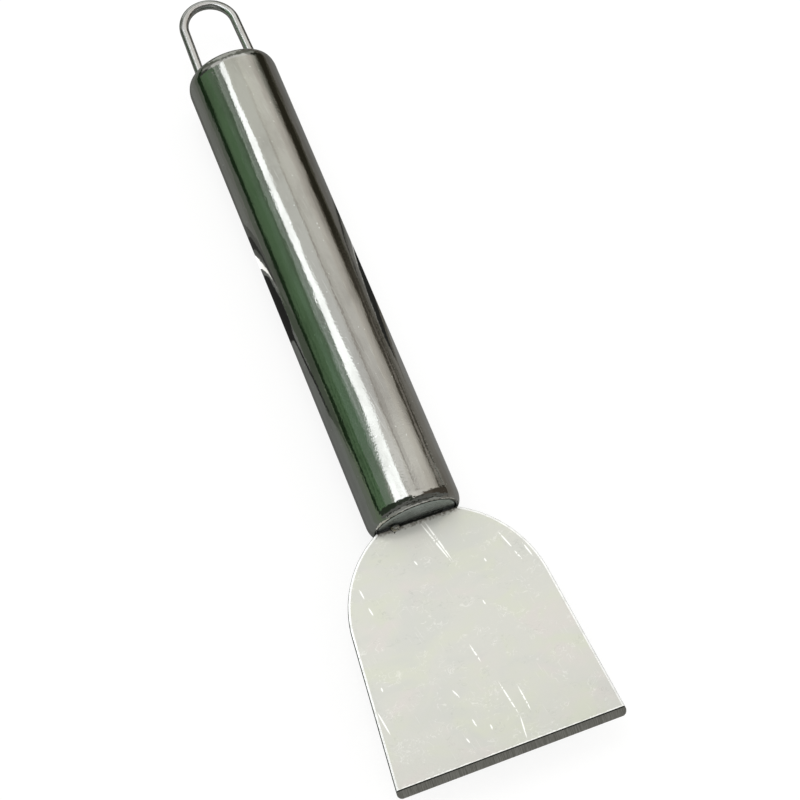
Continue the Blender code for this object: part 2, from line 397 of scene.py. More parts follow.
class SteelRecipe:
    """The node tree of one bare steel finish, and the patterns that its finish is built from."""

    # A mark thins out to its ends, so its ellipse is longer than what shows of it.
    MARK_STRETCH = 1.25
    MARK_DEPTH = 2.0
    MARK_LEVELS = (0.12, 0.45)
    # Strokes are drawn where fine noise crosses its middle, inside the patches of a coarser noise.
    STROKE_LEVELS = (0.2, 0.8)
    STROKE_DETAIL = 2.0
    PATCH_SIZE = 2.2
    PATCH_LEVELS = (0.52, 0.62)
    BORDER = Noise((0.8, 0.8, 0.8), (0.2, 0.8), shift=0.67)

    def __init__(self, name: str, roughness: float, metallic: float = 1.0) -> None:
        """Start a metal with one roughness all over.

        Args:
            name: The finish's name.
            roughness: The roughness before any pattern.
            metallic: The share of its light that it mirrors, where a matt skin scatters the rest.
        """
        self.material = bpy.data.materials.new(name)
        self.material.use_nodes = True
        self.tree = self.material.node_tree
        self.shader = self.tree.nodes["Principled BSDF"]
        self.shader.inputs["Metallic"].default_value = metallic
        self.shader.inputs["Roughness"].default_value = roughness
        self.place = add_node(self.tree, "ShaderNodeTexCoord").outputs["Object"]

    def patterns(self, *noises: Noise) -> list[Socket]:
        """Add patterns of noise, and give the value of each."""
        return [noise.add(self.tree, self.place) for noise in noises]

    def combine(self, operation: str, *values: Socket | float) -> Socket:
        """Combine values by one arithmetic operation."""
        inputs = dict(enumerate(values))
        return add_node(self.tree, "ShaderNodeMath", {"operation": operation}, inputs).outputs[0]

    def part(self, value: Socket, share: Socket | float) -> Socket:
        """Take a share of a value."""
        return self.combine("MULTIPLY", value, share)

    def raised(self, base: Socket | float, value: Socket, share: float) -> Socket:
        """Add a share of a value to a base."""
        return self.combine("MULTIPLY_ADD", value, share, base)

    def spread(self, value: Socket, low: float, high: float) -> Socket:
        """Spread a value's levels over the range from 0 to 1.

        Args:
            value: The value.
            low: The level that gives 0.
            high: The level that gives 1.

        Returns:
            The new value.
        """
        limits = {"From Min": low, "From Max": high, "Value": value}
        node = add_node(self.tree, "ShaderNodeMapRange", {"interpolation_type": "SMOOTHSTEP"}, limits)
        return node.outputs[0]

    def mix(self, share: Socket | float, first: Socket | str, second: Socket | str) -> Socket:
        """Mix two colours, each an output or a hex colour.

        Args:
            share: The second colour's share.
            first: The first colour.
            second: The second colour.

        Returns:
            The mixed colour.
        """
        ends = [linear(end) if isinstance(end, str) else end for end in (first, second)]
        inputs = {0: share, 6: ends[0], 7: ends[1]}
        return add_node(self.tree, "ShaderNodeMix", {"data_type": "RGBA"}, inputs).outputs[2]

    def wander(self, distance: Socket, ragged: float) -> Socket:
        """Let a distance wander by noise, so that a border taken from it is ragged."""
        (noise,) = self.patterns(self.BORDER)
        return self.raised(distance, self.combine("SUBTRACT", noise, 0.5), ragged)

    def beyond(self, axis: str, middle: float, start: float, end: float, ragged: float = 0.0) -> Socket:
        """Rise from 0 to 1 with the distance from a place along one axis.

        Args:
            axis: "X", "Y" or "Z".
            middle: The place that the distance is taken from.
            start: The distance at which the value leaves 0.
            end: The distance at which it reaches 1.
            ragged: How far the border wanders in and out.

        Returns:
            The value, from 0 to 1.
        """
        split = add_node(self.tree, "ShaderNodeSeparateXYZ", None, {0: self.place})
        distance = self.combine("ABSOLUTE", self.combine("SUBTRACT", split.outputs[axis], middle))
        return self.spread(self.wander(distance, ragged), start, end)

    def outside(self, axis_height: float, start: float, end: float, ragged: float) -> Socket:
        """Rise from 0 to 1 with the radius from the handle's axis.

        Args:
            axis_height: The axis's height in the frame.
            start: The radius at which the value leaves 0.
            end: The radius at which it reaches 1.
            ragged: How far the border wanders in and out.

        Returns:
            The value, from 0 to 1.
        """
        split = add_node(self.tree, "ShaderNodeSeparateXYZ", None, {0: self.place})
        rise = self.combine("SUBTRACT", split.outputs["Z"], axis_height)
        square = self.combine("MULTIPLY", split.outputs["X"], split.outputs["X"])
        radius = self.combine("SQRT", self.combine("MULTIPLY_ADD", rise, rise, square))
        return self.spread(self.wander(radius, ragged), start, end)

    def strokes(self, size: Size, thin: float, shift: float) -> Socket:
        """Draw short curled strokes, where noise crosses its middle, broken up by coarser noise.

        Args:
            size: The strokes' size in millimetres along X, Y and Z.
            thin: The strokes' width as a share of the noise's range.
            shift: How far the pattern is moved.

        Returns:
            1 on the strokes and 0 off them.
        """
        coarse = tuple(self.PATCH_SIZE * side for side in size)
        fine_noise = Noise(size, self.STROKE_LEVELS, self.STROKE_DETAIL, shift=shift, curl=1.0)
        patch_noise = Noise(coarse, self.PATCH_LEVELS, self.STROKE_DETAIL, shift=shift)
        level, patches = self.patterns(fine_noise, patch_noise)
        line = self.spread(self.combine("ABSOLUTE", self.combine("SUBTRACT", level, 0.5)), thin, 0.0)
        return self.combine("MULTIPLY", line, patches)

    def marks(self, marks: tuple[Mark, ...], origin: Vector) -> Socket:
        """Draw single scratches, each a long ellipse.

        Args:
            marks: The scratches.
            origin: The point that their places are given from.

        Returns:
            1 on the scratches and 0 off them.
        """
        drawn: Socket | float = 0.0
        for mark in marks:
            size = Vector((mark.width, mark.length / 2 * self.MARK_STRETCH, self.MARK_DEPTH))
            ellipse = {
                "Vector": self.place,
                "Location": origin + Vector((mark.across, mark.along, 0)) * MM,
                "Rotation": (0, 0, math.radians(mark.lean_deg)),
                "Scale": size * MM,
            }
            mapping = add_node(self.tree, "ShaderNodeMapping", {"vector_type": "TEXTURE"}, ellipse)
            vector = {"Vector": mapping.outputs[0]}
            ball = add_node(self.tree, "ShaderNodeTexGradient", {"gradient_type": "SPHERICAL"}, vector)
            drawn = self.combine("MAXIMUM", ball.outputs["Fac"], drawn)
        return self.spread(drawn, *self.MARK_LEVELS)

    def dress(self, colour: Socket, roughness: Socket, height: Socket, relief: float) -> Material:
        """Join the patterns to the shader.

        Args:
            colour: The base colour.
            roughness: The roughness.
            height: The relief's pattern, from 0 to 1.
            relief: The relief's depth.

        Returns:
            The finished material.
        """
        bumps = {"Strength": 1.0, "Distance": relief, "Height": height}
        bump = add_node(self.tree, "ShaderNodeBump", None, bumps)
        self.tree.links.new(colour, self.shader.inputs["Base Color"])
        self.tree.links.new(roughness, self.shader.inputs["Roughness"])
        self.tree.links.new(bump.outputs[0], self.shader.inputs["Normal"])
        return self.material


@dataclass(frozen=True)
class MirrorPolishedTube:
    """Ferritic stainless tube, belt-ground along its length and buffed.

    It mirrors the room as sharp bands. Their sides are ragged, because the old grinding lines and the fine
    pebbling of the buffed steel still tilt the surface by a degree or two. The spun-in ends are rippled.
    """

    middle: float
    half_length: float
    clean: str = "#cdccc6"
    worn: str = "#b9b7b1"
    speck: str = "#eceee9"
    # Near-black painted shade at each lip, standing in for the shadow in the gap to the cap.
    lip_gap_shade: str = "#2b2c29"
    roughness: float = 0.05
    # Grinding lines are about 0.05 mm apart, and are drawn coarser so that they show.
    grinding: Noise = Noise((0.34, 30, 0.34), (0.3, 0.75), 2.0)
    wave: Noise = Noise((2.2, 9, 2.2), (0.25, 0.75), 1.0, shift=0.23)
    pebble: Noise = Noise((0.42, 0.6, 0.42), (0.25, 0.75), 1.0, shift=0.41)
    ripple: Noise = Noise((2.4, 1.6, 2.4), (0.2, 0.8), 2.0, shift=0.13)
    smudge: Noise = Noise((7, 13, 7), (0.42, 0.75), 5.0, shift=0.31)
    hairline: Noise = Noise((0.24, 9, 0.24), (0.67, 0.76), 1.0, turn_deg=6, shift=0.17)
    pit: Noise = Noise((0.6, 0.8, 0.6), (0.80, 0.86), 0.0, shift=0.53)
    smudge_share: float = 0.75
    hairline_share: float = 0.35
    grinding_depth: float = 0.0012 * MM
    wave_depth: float = 0.022 * MM
    pebble_depth: float = 0.0055 * MM
    ripple_depth: float = 0.09 * MM
    spun_length: float = 4.2 * MM
    lip_gap_shade_width: float = 0.2 * MM
    # The outer share of the lip's painted shade width that is dark all over.
    lip_gap_shade_core: float = 0.4
    rougher_lines: float = 0.03
    rougher_smudges: float = 0.04
    rougher_hairlines: float = 0.10

    def material(self) -> Material:
        """Make the finish.

        Returns:
            The finished material.
        """
        recipe = SteelRecipe("mirror_polished_tube", self.roughness)
        lines, waves, pebbles, ripples = recipe.patterns(self.grinding, self.wave, self.pebble, self.ripple)
        smudges, hairlines, pits = recipe.patterns(self.smudge, self.hairline, self.pit)
        spun = recipe.beyond("Y", self.middle, self.half_length - self.spun_length, self.half_length)
        colour = recipe.mix(recipe.part(smudges, self.smudge_share), self.clean, self.worn)
        bright = recipe.combine("MAXIMUM", recipe.part(hairlines, self.hairline_share), pits)
        colour = recipe.mix(bright, colour, self.speck)
        # Painted shade: the last 0.2 mm at each end of the tube turns near-black, as the gap between lip and
        # cap would be in shade.
        inner = self.half_length - self.lip_gap_shade_width
        outer = self.half_length - self.lip_gap_shade_core * self.lip_gap_shade_width
        lip_gap_shaded = recipe.beyond("Y", self.middle, inner, outer, ragged=self.lip_gap_shade_width)
        colour = recipe.mix(lip_gap_shaded, colour, self.lip_gap_shade)
        roughness = recipe.raised(self.roughness, lines, self.rougher_lines)
        roughness = recipe.raised(roughness, smudges, self.rougher_smudges)
        roughness = recipe.raised(roughness, hairlines, self.rougher_hairlines)
        height = recipe.part(lines, self.grinding_depth / self.wave_depth)
        height = recipe.raised(height, pebbles, self.pebble_depth / self.wave_depth)
        height = recipe.combine("ADD", waves, height)
        ripples = recipe.part(recipe.part(ripples, spun), self.ripple_depth / self.wave_depth)
        height = recipe.combine("ADD", ripples, height)
        return recipe.dress(colour, roughness, height, self.wave_depth)


@dataclass(frozen=True)
class PressedCapSteel:
    """Thin stainless sheet pressed to a cup and only lightly polished.

    It is a duller silver than the tube, with fine drawing lines. Painted shade turns it near-black in a band
    about the handle's axis height, where the lower cap's slot is, and round its rim, where the gap to the
    tube's lip is.
    """

    axis_height: float
    clean: str = "#aab3b0"
    dull: str = "#8f9794"
    # Near-black of the painted shade along the slot and round the rim.
    near_black: str = "#171815"
    roughness: float = 0.24
    line: Noise = Noise((3, 3, 0.3), (0.35, 0.7))
    patch: Noise = Noise((4, 2, 4), (0.4, 0.7), shift=0.11)
    # Where the painted shade along the slot starts to fade and where it ends, as heights from the handle's
    # axis.
    slot_shade_start: float = 0.65 * MM
    slot_shade_end: float = 1.0 * MM
    painted_shade_ragged: float = 0.2 * MM
    # Where the painted shade at the rim starts and where it is full, as radii from the handle's axis.
    rim_start: float = 10.3 * MM
    rim_end: float = 10.6 * MM
    rim_ragged: float = 0.3 * MM
    rim_share: float = 0.9
    rougher: float = 0.1
    relief: float = 0.003 * MM

    def material(self) -> Material:
        """Make the finish.

        Returns:
            The finished material.
        """
        recipe = SteelRecipe("pressed_cap_steel", self.roughness)
        lines, patches = recipe.patterns(self.line, self.patch)
        # Painted shade: near-black in a band about the axis height and round the rim, on both caps.
        clean = recipe.beyond("Z", self.axis_height, self.slot_shade_start, self.slot_shade_end, self.painted_shade_ragged)
        rim = recipe.outside(self.axis_height, self.rim_start, self.rim_end, self.rim_ragged)
        colour = recipe.mix(patches, self.clean, self.dull)
        colour = recipe.mix(clean, self.near_black, colour)
        colour = recipe.mix(recipe.part(rim, self.rim_share), colour, self.near_black)
        roughness = recipe.raised(recipe.raised(self.roughness, lines, self.rougher), patches, self.rougher)
        return recipe.dress(colour, roughness, lines, self.relief)


@dataclass(frozen=True)
class BrightDrawnWire:
    """Stainless wire drawn through a die and barrel-polished.

    It is brighter than the tube, with a pebbled look from the barrel and faint drawing lines along it.
    """

    clean: str = "#dddbd9"
    worn: str = "#c7c5c3"
    roughness: float = 0.12
    line: Noise = Noise((0.25, 8, 0.25), (0.35, 0.75))
    pebble: Noise = Noise((0.4, 0.5, 0.4), (0.25, 0.75), 2.0)
    patch: Noise = Noise((2, 3, 2), (0.45, 0.7), shift=0.27)
    patch_share: float = 0.6
    line_share: float = 0.15
    rougher_lines: float = 0.05
    rougher_patches: float = 0.07
    relief: float = 0.009 * MM

    def material(self) -> Material:
        """Make the finish.

        Returns:
            The finished material.
        """
        recipe = SteelRecipe("bright_drawn_wire", self.roughness)
        lines, pebbles, patches = recipe.patterns(self.line, self.pebble, self.patch)
        colour = recipe.mix(recipe.part(patches, self.patch_share), self.clean, self.worn)
        roughness = recipe.raised(self.roughness, lines, self.rougher_lines)
        roughness = recipe.raised(roughness, patches, self.rougher_patches)
        height = recipe.raised(pebbles, lines, self.line_share)
        return recipe.dress(colour, roughness, height, self.relief)


@dataclass(frozen=True)
class ColdRolledSheet:
    """Cold-rolled stainless sheet with its mill finish.

    It is a pale silver that is nearly matt, with faint warm and yellow-green clouds, a fine grain and bright
    scratches, most of them along the handle's axis. A bright ragged line of painted highlight runs above the
    ground bevel. Painted shade makes a near-black line at the blade's root and a grey-brown strip below it,
    and two near-black strokes cross beside the tack.
    """

    origin: Vector
    neutral: str = "#cdcdc5"
    yellow_green: str = "#cdcfc0"
    pink: str = "#d0ccc6"
    grey: str = "#c8c9c3"
    dark: str = "#a0a19a"
    bright: str = "#fdfef9"
    # Near-black of the painted shade at the blade's root, also used for the two strokes beside the tack.
    near_black: str = "#171815"
    # Grey-brown painted shade in a strip below the cap, where the cap's end shades the blade.
    root_shade_strip: str = "#7f7a72"
    # A mill finish is so finely pitted that most of its light is scattered.
    metallic: float = 0.25
    roughness: float = 0.2
    root_shade_width: float = 0.40 * MM
    painted_shade_ragged: float = 0.15 * MM
    # Where the painted shade at the root starts to thin out and where it ends, as shares of its width.
    root_shade_border: tuple[float, float] = (0.6, 1.2)
    root_shade_strip_width: float = 1.4 * MM
    root_shade_strip_ragged: float = 1.2 * MM
    green_cloud: Noise = Noise((13, 10, 13), (0.45, 0.62), 6.0, curl=0.6)
    pink_cloud: Noise = Noise((13, 10, 13), (0.52, 0.66), 6.0, shift=0.043, curl=0.6)
    grey_cloud: Noise = Noise((13, 10, 13), (0.48, 0.66), 8.0, shift=0.087, curl=0.8)
    # The mill grain is finer than 0.1 mm, and is drawn coarser so that it shows.
    grain: Noise = Noise((0.5, 0.6, 0.5), (0.3, 0.75), 2.0)
    rub: Noise = Noise((0.2, 6, 6), (0.70, 0.79), 1.0, turn_deg=10.0)
    chip: Noise = Noise((1.1, 1.2, 1.1), (0.84, 0.88), 1.0, shift=0.61)
    gap: Noise = Noise((0.8, 0.8, 0.8), (0.31, 0.42), 1.0)
    stroke: Size = (2.8, 1.9, 1.9)
    # How thin the dark and the bright strokes are, and how far each pattern is moved.
    dark_stroke: tuple[float, float] = (0.05, 0.029)
    bright_stroke: tuple[float, float] = (0.06, 0.071)
    stroke_share: float = 0.3
    rub_share: float = 0.25
    cloud_share: float = 0.7
    grain_share: float = 0.25
    rougher_clouds: float = 0.02
    rougher_scratches: float = -0.08
    # A scratch is deeper than the grain is high.
    scratch_height: float = -1.5
    relief: float = 0.004 * MM
    # Painted highlight: a bright ragged line just above the ground bevel's top edge, with its place, reach
    # and strength.
    highlight_line_place: float = -62.1 * MM
    highlight_line_reach: tuple[float, float] = (0.12 * MM, 0.34 * MM)
    highlight_line_ragged: float = 0.4 * MM
    highlight_line_share: float = 0.8
    # Two near-black strokes crossing on the blade beside the tack.
    tack_strokes: tuple[Mark, ...] = (Mark(-6.9, -0.6, 2.2, 35.0, 0.3), Mark(-6.3, -0.9, 1.8, -28.0, 0.3))
    marks: tuple[Mark, ...] = (
        Mark(2.19, -7.12, 13.1, 16.3, 0.31),
        Mark(2.97, -6.97, 12.8, 13.4, 0.31),
        Mark(19.0, -12.6, 5.8, 19.0),
        Mark(20.5, -17.4, 3.0, 19.0),
        Mark(23.3, -16.8, 4.5, 14.9),
        Mark(-20.1, -13.5, 3.2, 6.0),
        Mark(-19.6, -18.6, 2.4, 10.0),
        Mark(0.6, -37.2, 5.3, 11.1),
        Mark(4.0, -50.4, 9.5, 9.9),
        Mark(4.6, -58.4, 6.0, -6.0, 0.24),
        Mark(7.6, -51.8, 7.2, 5.4),
        Mark(-26.8, -45.9, 6.7, 8.7, 0.28),
        Mark(-6.2, -53.3, 2.3, 9.8),
        Mark(-2.7, -55.7, 1.6, 4.0),
        Mark(-9.3, -56.8, 1.5, 16.7),
        Mark(-7.7, -45.1, 2.7, 23.1),
        Mark(-4.5, -10.6, 1.6, 17.3),
        Mark(12.2, -15.8, 1.2, 10.0),
        Mark(7.7, -25.9, 1.4, 10.0),
        Mark(-24.2, -37.9, 1.2, 0.0),
    )

    def material(self) -> Material:
        """Make the finish.

        Returns:
            The finished material.
        """
        recipe = SteelRecipe("cold_rolled_sheet", self.roughness, self.metallic)
        green, pink, grey = recipe.patterns(self.green_cloud, self.pink_cloud, self.grey_cloud)
        grain, rubs, chips, breaks = recipe.patterns(self.grain, self.rub, self.chip, self.gap)
        dark_strokes = recipe.part(recipe.strokes(self.stroke, *self.dark_stroke), self.stroke_share)
        bright_strokes = recipe.part(recipe.strokes(self.stroke, *self.bright_stroke), self.stroke_share)
        drawn = recipe.part(recipe.marks(self.marks, self.origin), breaks)
        # Painted highlight along the top edge of the ground bevel.
        flat = recipe.beyond("Y", self.origin.y + self.highlight_line_place, *self.highlight_line_reach, self.highlight_line_ragged)
        painted_highlight_line = recipe.part(recipe.combine("SUBTRACT", 1.0, flat), self.highlight_line_share)
        # The scratches, chips, rubs and strokes are the sheet's own wear. The line along the bevel is painted
        # highlight.
        bright = drawn
        for other in (chips, recipe.part(rubs, self.rub_share), bright_strokes, painted_highlight_line):
            bright = recipe.combine("MAXIMUM", bright, other)
        root = self.origin.y
        # Painted shade at the root: near-black against the cap, then a grey-brown strip that fades out with
        # distance.
        past_root_shade_strip = recipe.beyond("Y", root, self.root_shade_width, self.root_shade_strip_width, self.root_shade_strip_ragged)
        root_shade_border = [share * self.root_shade_width for share in self.root_shade_border]
        clean = recipe.beyond("Y", root, *root_shade_border, self.painted_shade_ragged)
        colour = recipe.mix(green, self.neutral, self.yellow_green)
        colour = recipe.mix(pink, colour, self.pink)
        colour = recipe.mix(recipe.part(grey, self.cloud_share), colour, self.grey)
        colour = recipe.mix(recipe.part(grain, self.grain_share), colour, self.grey)
        colour = recipe.mix(dark_strokes, colour, self.dark)
        colour = recipe.mix(bright, colour, self.bright)
        # Painted shade below the cap: the grey-brown strip, then the near-black line.
        colour = recipe.mix(past_root_shade_strip, self.root_shade_strip, colour)
        colour = recipe.mix(clean, self.near_black, colour)
        # The two near-black strokes beside the tack.
        colour = recipe.mix(recipe.marks(self.tack_strokes, self.origin), colour, self.near_black)
        roughness = recipe.raised(self.roughness, grey, self.rougher_clouds)
        roughness = recipe.raised(roughness, bright, self.rougher_scratches)
        return recipe.dress(colour, roughness, recipe.raised(grain, drawn, self.scratch_height), self.relief)


@dataclass(frozen=True)
class BeltGroundBevel:
    """Edge ground on a coarse belt.

    It is a dark grey satin, with grinding lines square to the cutting edge. A darker line of painted shade
    runs along its top edge.
    """

    upper_side: float
    light: str = "#a5a49d"
    dark: str = "#7d7c75"
    # Near-black painted shade along the bevel's top edge.
    edge_shade: str = "#23231f"
    edge_shade_width: float = 0.42 * MM
    # The share of the painted shade's width that is dark all over.
    edge_shade_core: float = 0.4
    roughness: float = 0.42
    # The belt tears the steel, which then scatters part of its light.
    metallic: float = 0.75
    # Lines of a 120-grit belt are about 0.12 mm wide, and are drawn coarser so that they show.
    line: Noise = Noise((0.2, 4, 4), (0.3, 0.72), 2.0)
    patch: Noise = Noise((5, 2, 2), (0.4, 0.7))
    patch_share: float = 0.4
    rougher: float = 0.08
    relief: float = 0.006 * MM

    def material(self) -> Material:
        """Make the finish.

        Returns:
            The finished material.
        """
        recipe = SteelRecipe("belt_ground_bevel", self.roughness, self.metallic)
        lines, patches = recipe.patterns(self.line, self.patch)
        colour = recipe.mix(lines, self.dark, self.light)
        colour = recipe.mix(recipe.part(patches, self.patch_share), colour, self.dark)
        # Painted shade: a near-black line along the bevel's top edge.
        edge_shade_start = self.edge_shade_core * self.edge_shade_width
        ground = recipe.beyond("Y", self.upper_side, edge_shade_start, self.edge_shade_width)
        colour = recipe.mix(ground, self.edge_shade, colour)
        return recipe.dress(colour, recipe.raised(self.roughness, patches, self.rougher), lines, self.relief)


@dataclass(frozen=True)
class TumbledEdge:
    """Sheared edge rounded in a tumbler: smoother than the sheet, with small nicks, and brighter, partly as
    painted highlight.
    """

    # Near white: partly the tumbled steel's own brightness, partly a painted highlight along the blade's rim.
    bright: str = "#fbfcf9"
    worn: str = "#e4e5e0"
    # The tumbling stones leave a fine white frost on it.
    metallic: float = 0.35
    roughness: float = 0.22
    nick: Noise = Noise((0.9, 0.9, 0.9), (0.45, 0.7), 2.0)
    rougher: float = 0.15
    relief: float = 0.01 * MM

    def material(self) -> Material:
        """Make the finish.

        Returns:
            The finished material.
        """
        recipe = SteelRecipe("tumbled_edge_painted_highlight", self.roughness, self.metallic)
        (nicks,) = recipe.patterns(self.nick)
        colour = recipe.mix(nicks, self.bright, self.worn)
        return recipe.dress(colour, recipe.raised(self.roughness, nicks, self.rougher), nicks, self.relief)


@dataclass(frozen=True)
class ShearedEdge:
    """The blade's sides as the shear left them: dull grey with torn lines across the sheet."""

    shorn: str = "#8d8e88"
    torn: str = "#5d5e59"
    roughness: float = 0.4
    line: Noise = Noise((0.4, 0.4, 3), (0.35, 0.7), 2.0)
    rougher: float = 0.15
    relief: float = 0.006 * MM

    def material(self) -> Material:
        """Make the finish.

        Returns:
            The finished material.
        """
        recipe = SteelRecipe("sheared_edge", self.roughness)
        (lines,) = recipe.patterns(self.line)
        colour = recipe.mix(lines, self.shorn, self.torn)
        return recipe.dress(colour, recipe.raised(self.roughness, lines, self.rougher), lines, self.relief)


@dataclass(frozen=True)
class WeldBead:
    """Stainless weld left as it cooled.

    It is grey, with straw and blue-grey heat tints and flakes of black scale.
    """

    grey: str = "#bdbcb6"
    straw: str = "#a99f88"
    blue: str = "#8b8f94"
    scale: str = "#1d1d1a"
    roughness: float = 0.18
    straw_tint: Noise = Noise((1.6, 1.6, 1.6), (0.45, 0.65))
    blue_tint: Noise = Noise((1.6, 1.6, 1.6), (0.5, 0.7), shift=0.07)
    grain: Noise = Noise((0.25, 0.25, 0.25), (0.3, 0.7))
    flake: Size = (1.6, 1.6, 1.6)
    flake_width: float = 0.38
    flake_shift: float = 0.19
    blue_share: float = 0.7
    rougher: float = 0.15
    relief: float = 0.02 * MM

    def material(self) -> Material:
        """Make the finish.

        Returns:
            The finished material.
        """
        recipe = SteelRecipe("weld_bead", self.roughness)
        straw, blue, grain = recipe.patterns(self.straw_tint, self.blue_tint, self.grain)
        colour = recipe.mix(straw, self.grey, self.straw)
        colour = recipe.mix(recipe.part(blue, self.blue_share), colour, self.blue)
        flakes = recipe.strokes(self.flake, self.flake_width, self.flake_shift)
        colour = recipe.mix(flakes, colour, self.scale)
        return recipe.dress(colour, recipe.raised(self.roughness, grain, self.rougher), grain, self.relief)


# ---------------------------------------------------------------- the scraper


def paint(piece: Piece, material: Material) -> None:
    """Give a piece one finish all over."""
    piece.data.materials.clear()
    piece.data.materials.append(material)


def finish(piece: Piece, crease_deg: float, material: Material) -> Piece:
    """Shade a piece and paint it.

    Args:
        piece: The piece.
        crease_deg: The angle past which its edges stay sharp.
        material: Its finish.

    Returns:
        The finished piece.
    """
    smooth(piece, crease_deg)
    paint(piece, material)
    return piece


def hand_over(piece: Piece, node: str) -> None:
    """Let a finished piece stand for its CAD node, and report it.

    Args:
        piece: The finished piece.
        node: The CAD node that it replaces.
    """
    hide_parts(node)
    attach(piece, "root")
    LOG.info("%s stands for %s, with %d faces", piece.name, node, len(piece.data.polygons))


@dataclass(frozen=True)
class Tube:
    """The handle's thin tube, whose ends are spun in to a lip that holds each cap."""

    origin: Vector
    length: float
    radius: float = 12.5 * MM
    wall: float = 0.8 * MM
    roll_length: float = 3.4 * MM
    roll_depth: float = 1.5 * MM
    lip_round: float = 0.22 * MM
    sides: int = 192
    roll_steps: int = 18
    lip_steps: int = 5
    crease_deg: float = 40.0

    @property
    def lip_radius(self) -> float:
        """Radius of the opening at each end."""
        return self.radius - self.roll_depth

    def end(self) -> Profile:
        """Draw one end, from the straight outside round the lip to the straight inside.

        Returns:
            Radius and height of each ring.
        """
        centre = (self.lip_radius, self.roll_length)
        outer = curve_in(centre, self.roll_depth, self.roll_length, self.roll_steps)
        inner = curve_in(centre, self.roll_depth - self.wall, self.roll_length - self.wall, self.roll_steps)
        lip = []
        for step in range(1, self.lip_steps + 1):
            angle = math.pi / 2 * step / self.lip_steps
            height = self.lip_round * (1 - math.cos(angle))
            lip.append((self.lip_radius - self.lip_round * math.sin(angle), height))
        return outer + lip + inner[::-1]

    def build(self, material: Material) -> Piece:
        """Model the tube.

        Args:
            material: Its finish.

        Returns:
            The finished tube.
        """
        lower = self.end()
        upper = [(radius, self.length - height) for radius, height in reversed(lower)]
        piece = turned("polished_tube", lower + upper, self.sides, ring=True)
        seat(piece, self.origin, (-math.pi / 2, 0, 0))
        return finish(piece, self.crease_deg, material)


@dataclass(frozen=True)
class Cap:
    """A cup pressed from sheet, held behind the tube's lip at one end of the handle."""

    origin: Vector
    end: HandleEnd
    tube: Tube
    gap: float = 0.3 * MM
    thickness: float = 0.8 * MM
    recess: float = 0.2 * MM
    corner: float = 0.6 * MM
    lip_gap: float = 0.12 * MM
    skirt_length: float = 9.0 * MM
    dish_radius: float = 9.2 * MM
    dish_slope: float = 0.8 * MM
    dish_depth: float = 0.08 * MM
    middle_radius: float = 1.0 * MM
    sides: int = 160
    corner_steps: int = 8
    crease_deg: float = 35.0

    @property
    def panel_radius(self) -> float:
        """Radius of the panel that shows inside the lip."""
        return self.tube.lip_radius - self.tube.lip_round - self.lip_gap

    def profile(self) -> Profile:
        """Draw the cup, from the middle of the inside round the skirt to the panel.

        Returns:
            Radius and depth of each ring.
        """
        tube, steps = self.tube, self.corner_steps
        skirt = tube.radius - tube.wall - self.gap
        inner_depth, dished = self.recess + self.thickness, self.recess + self.dish_depth
        inner_skirt = skirt - self.thickness
        rise = tube.roll_length - tube.wall - self.gap
        shoulder = curve_in((tube.lip_radius, tube.roll_length), skirt - tube.lip_radius, rise, steps)
        corner_centre = (self.panel_radius - self.corner, self.recess + self.corner)
        inside = [(self.middle_radius, inner_depth), (self.panel_radius - self.thickness, inner_depth)]
        inside += [(inner_skirt, tube.roll_length), (inner_skirt, self.skirt_length)]
        inside += [(skirt, self.skirt_length)]
        panel = [(self.dish_radius, self.recess), (self.dish_radius - self.dish_slope, dished)]
        panel += [(self.middle_radius, dished)]
        return inside + shoulder + curve_in(corner_centre, self.corner, self.corner, steps) + panel

    def build(self, material: Material, cutters: list[Piece]) -> Piece:
        """Model the cap and cut what goes through it.

        Args:
            material: Its finish.
            cutters: The shapes of the slot or holes, in place.

        Returns:
            The finished cap.
        """
        piece = turned(f"{self.end.name.lower()}_cap", self.profile(), self.sides, ring=False)
        rise = 0 if self.end is HandleEnd.BLADE else self.tube.length
        seat(piece, self.origin + Vector((0, rise, 0)), (self.end.value * math.pi / 2, 0, 0))
        for cutter in cutters:
            cut(piece, cutter)
        return finish(piece, self.crease_deg, material)


@dataclass(frozen=True)
class HangingLoop:
    """Round wire bent to a U, with both legs through the upper cap and leaning in a little."""

    origin: Vector
    tube_length: float
    wire_radius: float = 1.3 * MM
    bend_radius: float = 7.3 * MM
    foot_offset: float = 7.8 * MM
    leg_length: float = 16.25 * MM
    inside: float = 1.0 * MM
    sides: int = 40
    bend_steps: int = 72
    crease_deg: float = 50.0

    def build(self, material: Material) -> Piece:
        """Draw the wire up its left leg, round the bend and down the right leg.

        Args:
            material: Its finish.

        Returns:
            The finished loop.
        """
        deselect()
        shape = {"vertices": self.sides, "radius": self.wire_radius, "fill_type": "NGON"}
        bpy.ops.mesh.primitive_circle_add(rotation=(-math.pi / 2, 0, 0), **shape)
        piece = named("wire_loop")
        keep_place()
        leg = self.leg_length + self.inside
        lean = self.foot_offset - self.bend_radius
        edit()
        bpy.ops.transform.translate(value=(-self.foot_offset, self.tube_length - self.inside, 0))
        extrude((lean, leg, 0))
        centre = (0, self.tube_length + self.leg_length, 0)
        bpy.ops.mesh.spin(steps=self.bend_steps, angle=math.pi, center=centre, axis=(0, 0, 1))
        extrude((lean, -leg, 0))
        leave_edit()
        face_outwards(piece)
        seat(piece, self.origin)
        return finish(piece, self.crease_deg, material)


class BladeFace(Enum):
    """The blade's finishes, by their numbers on its mesh."""

    SHEET = 0
    GROUND = 1
    RIM = 2
    SIDE = 3


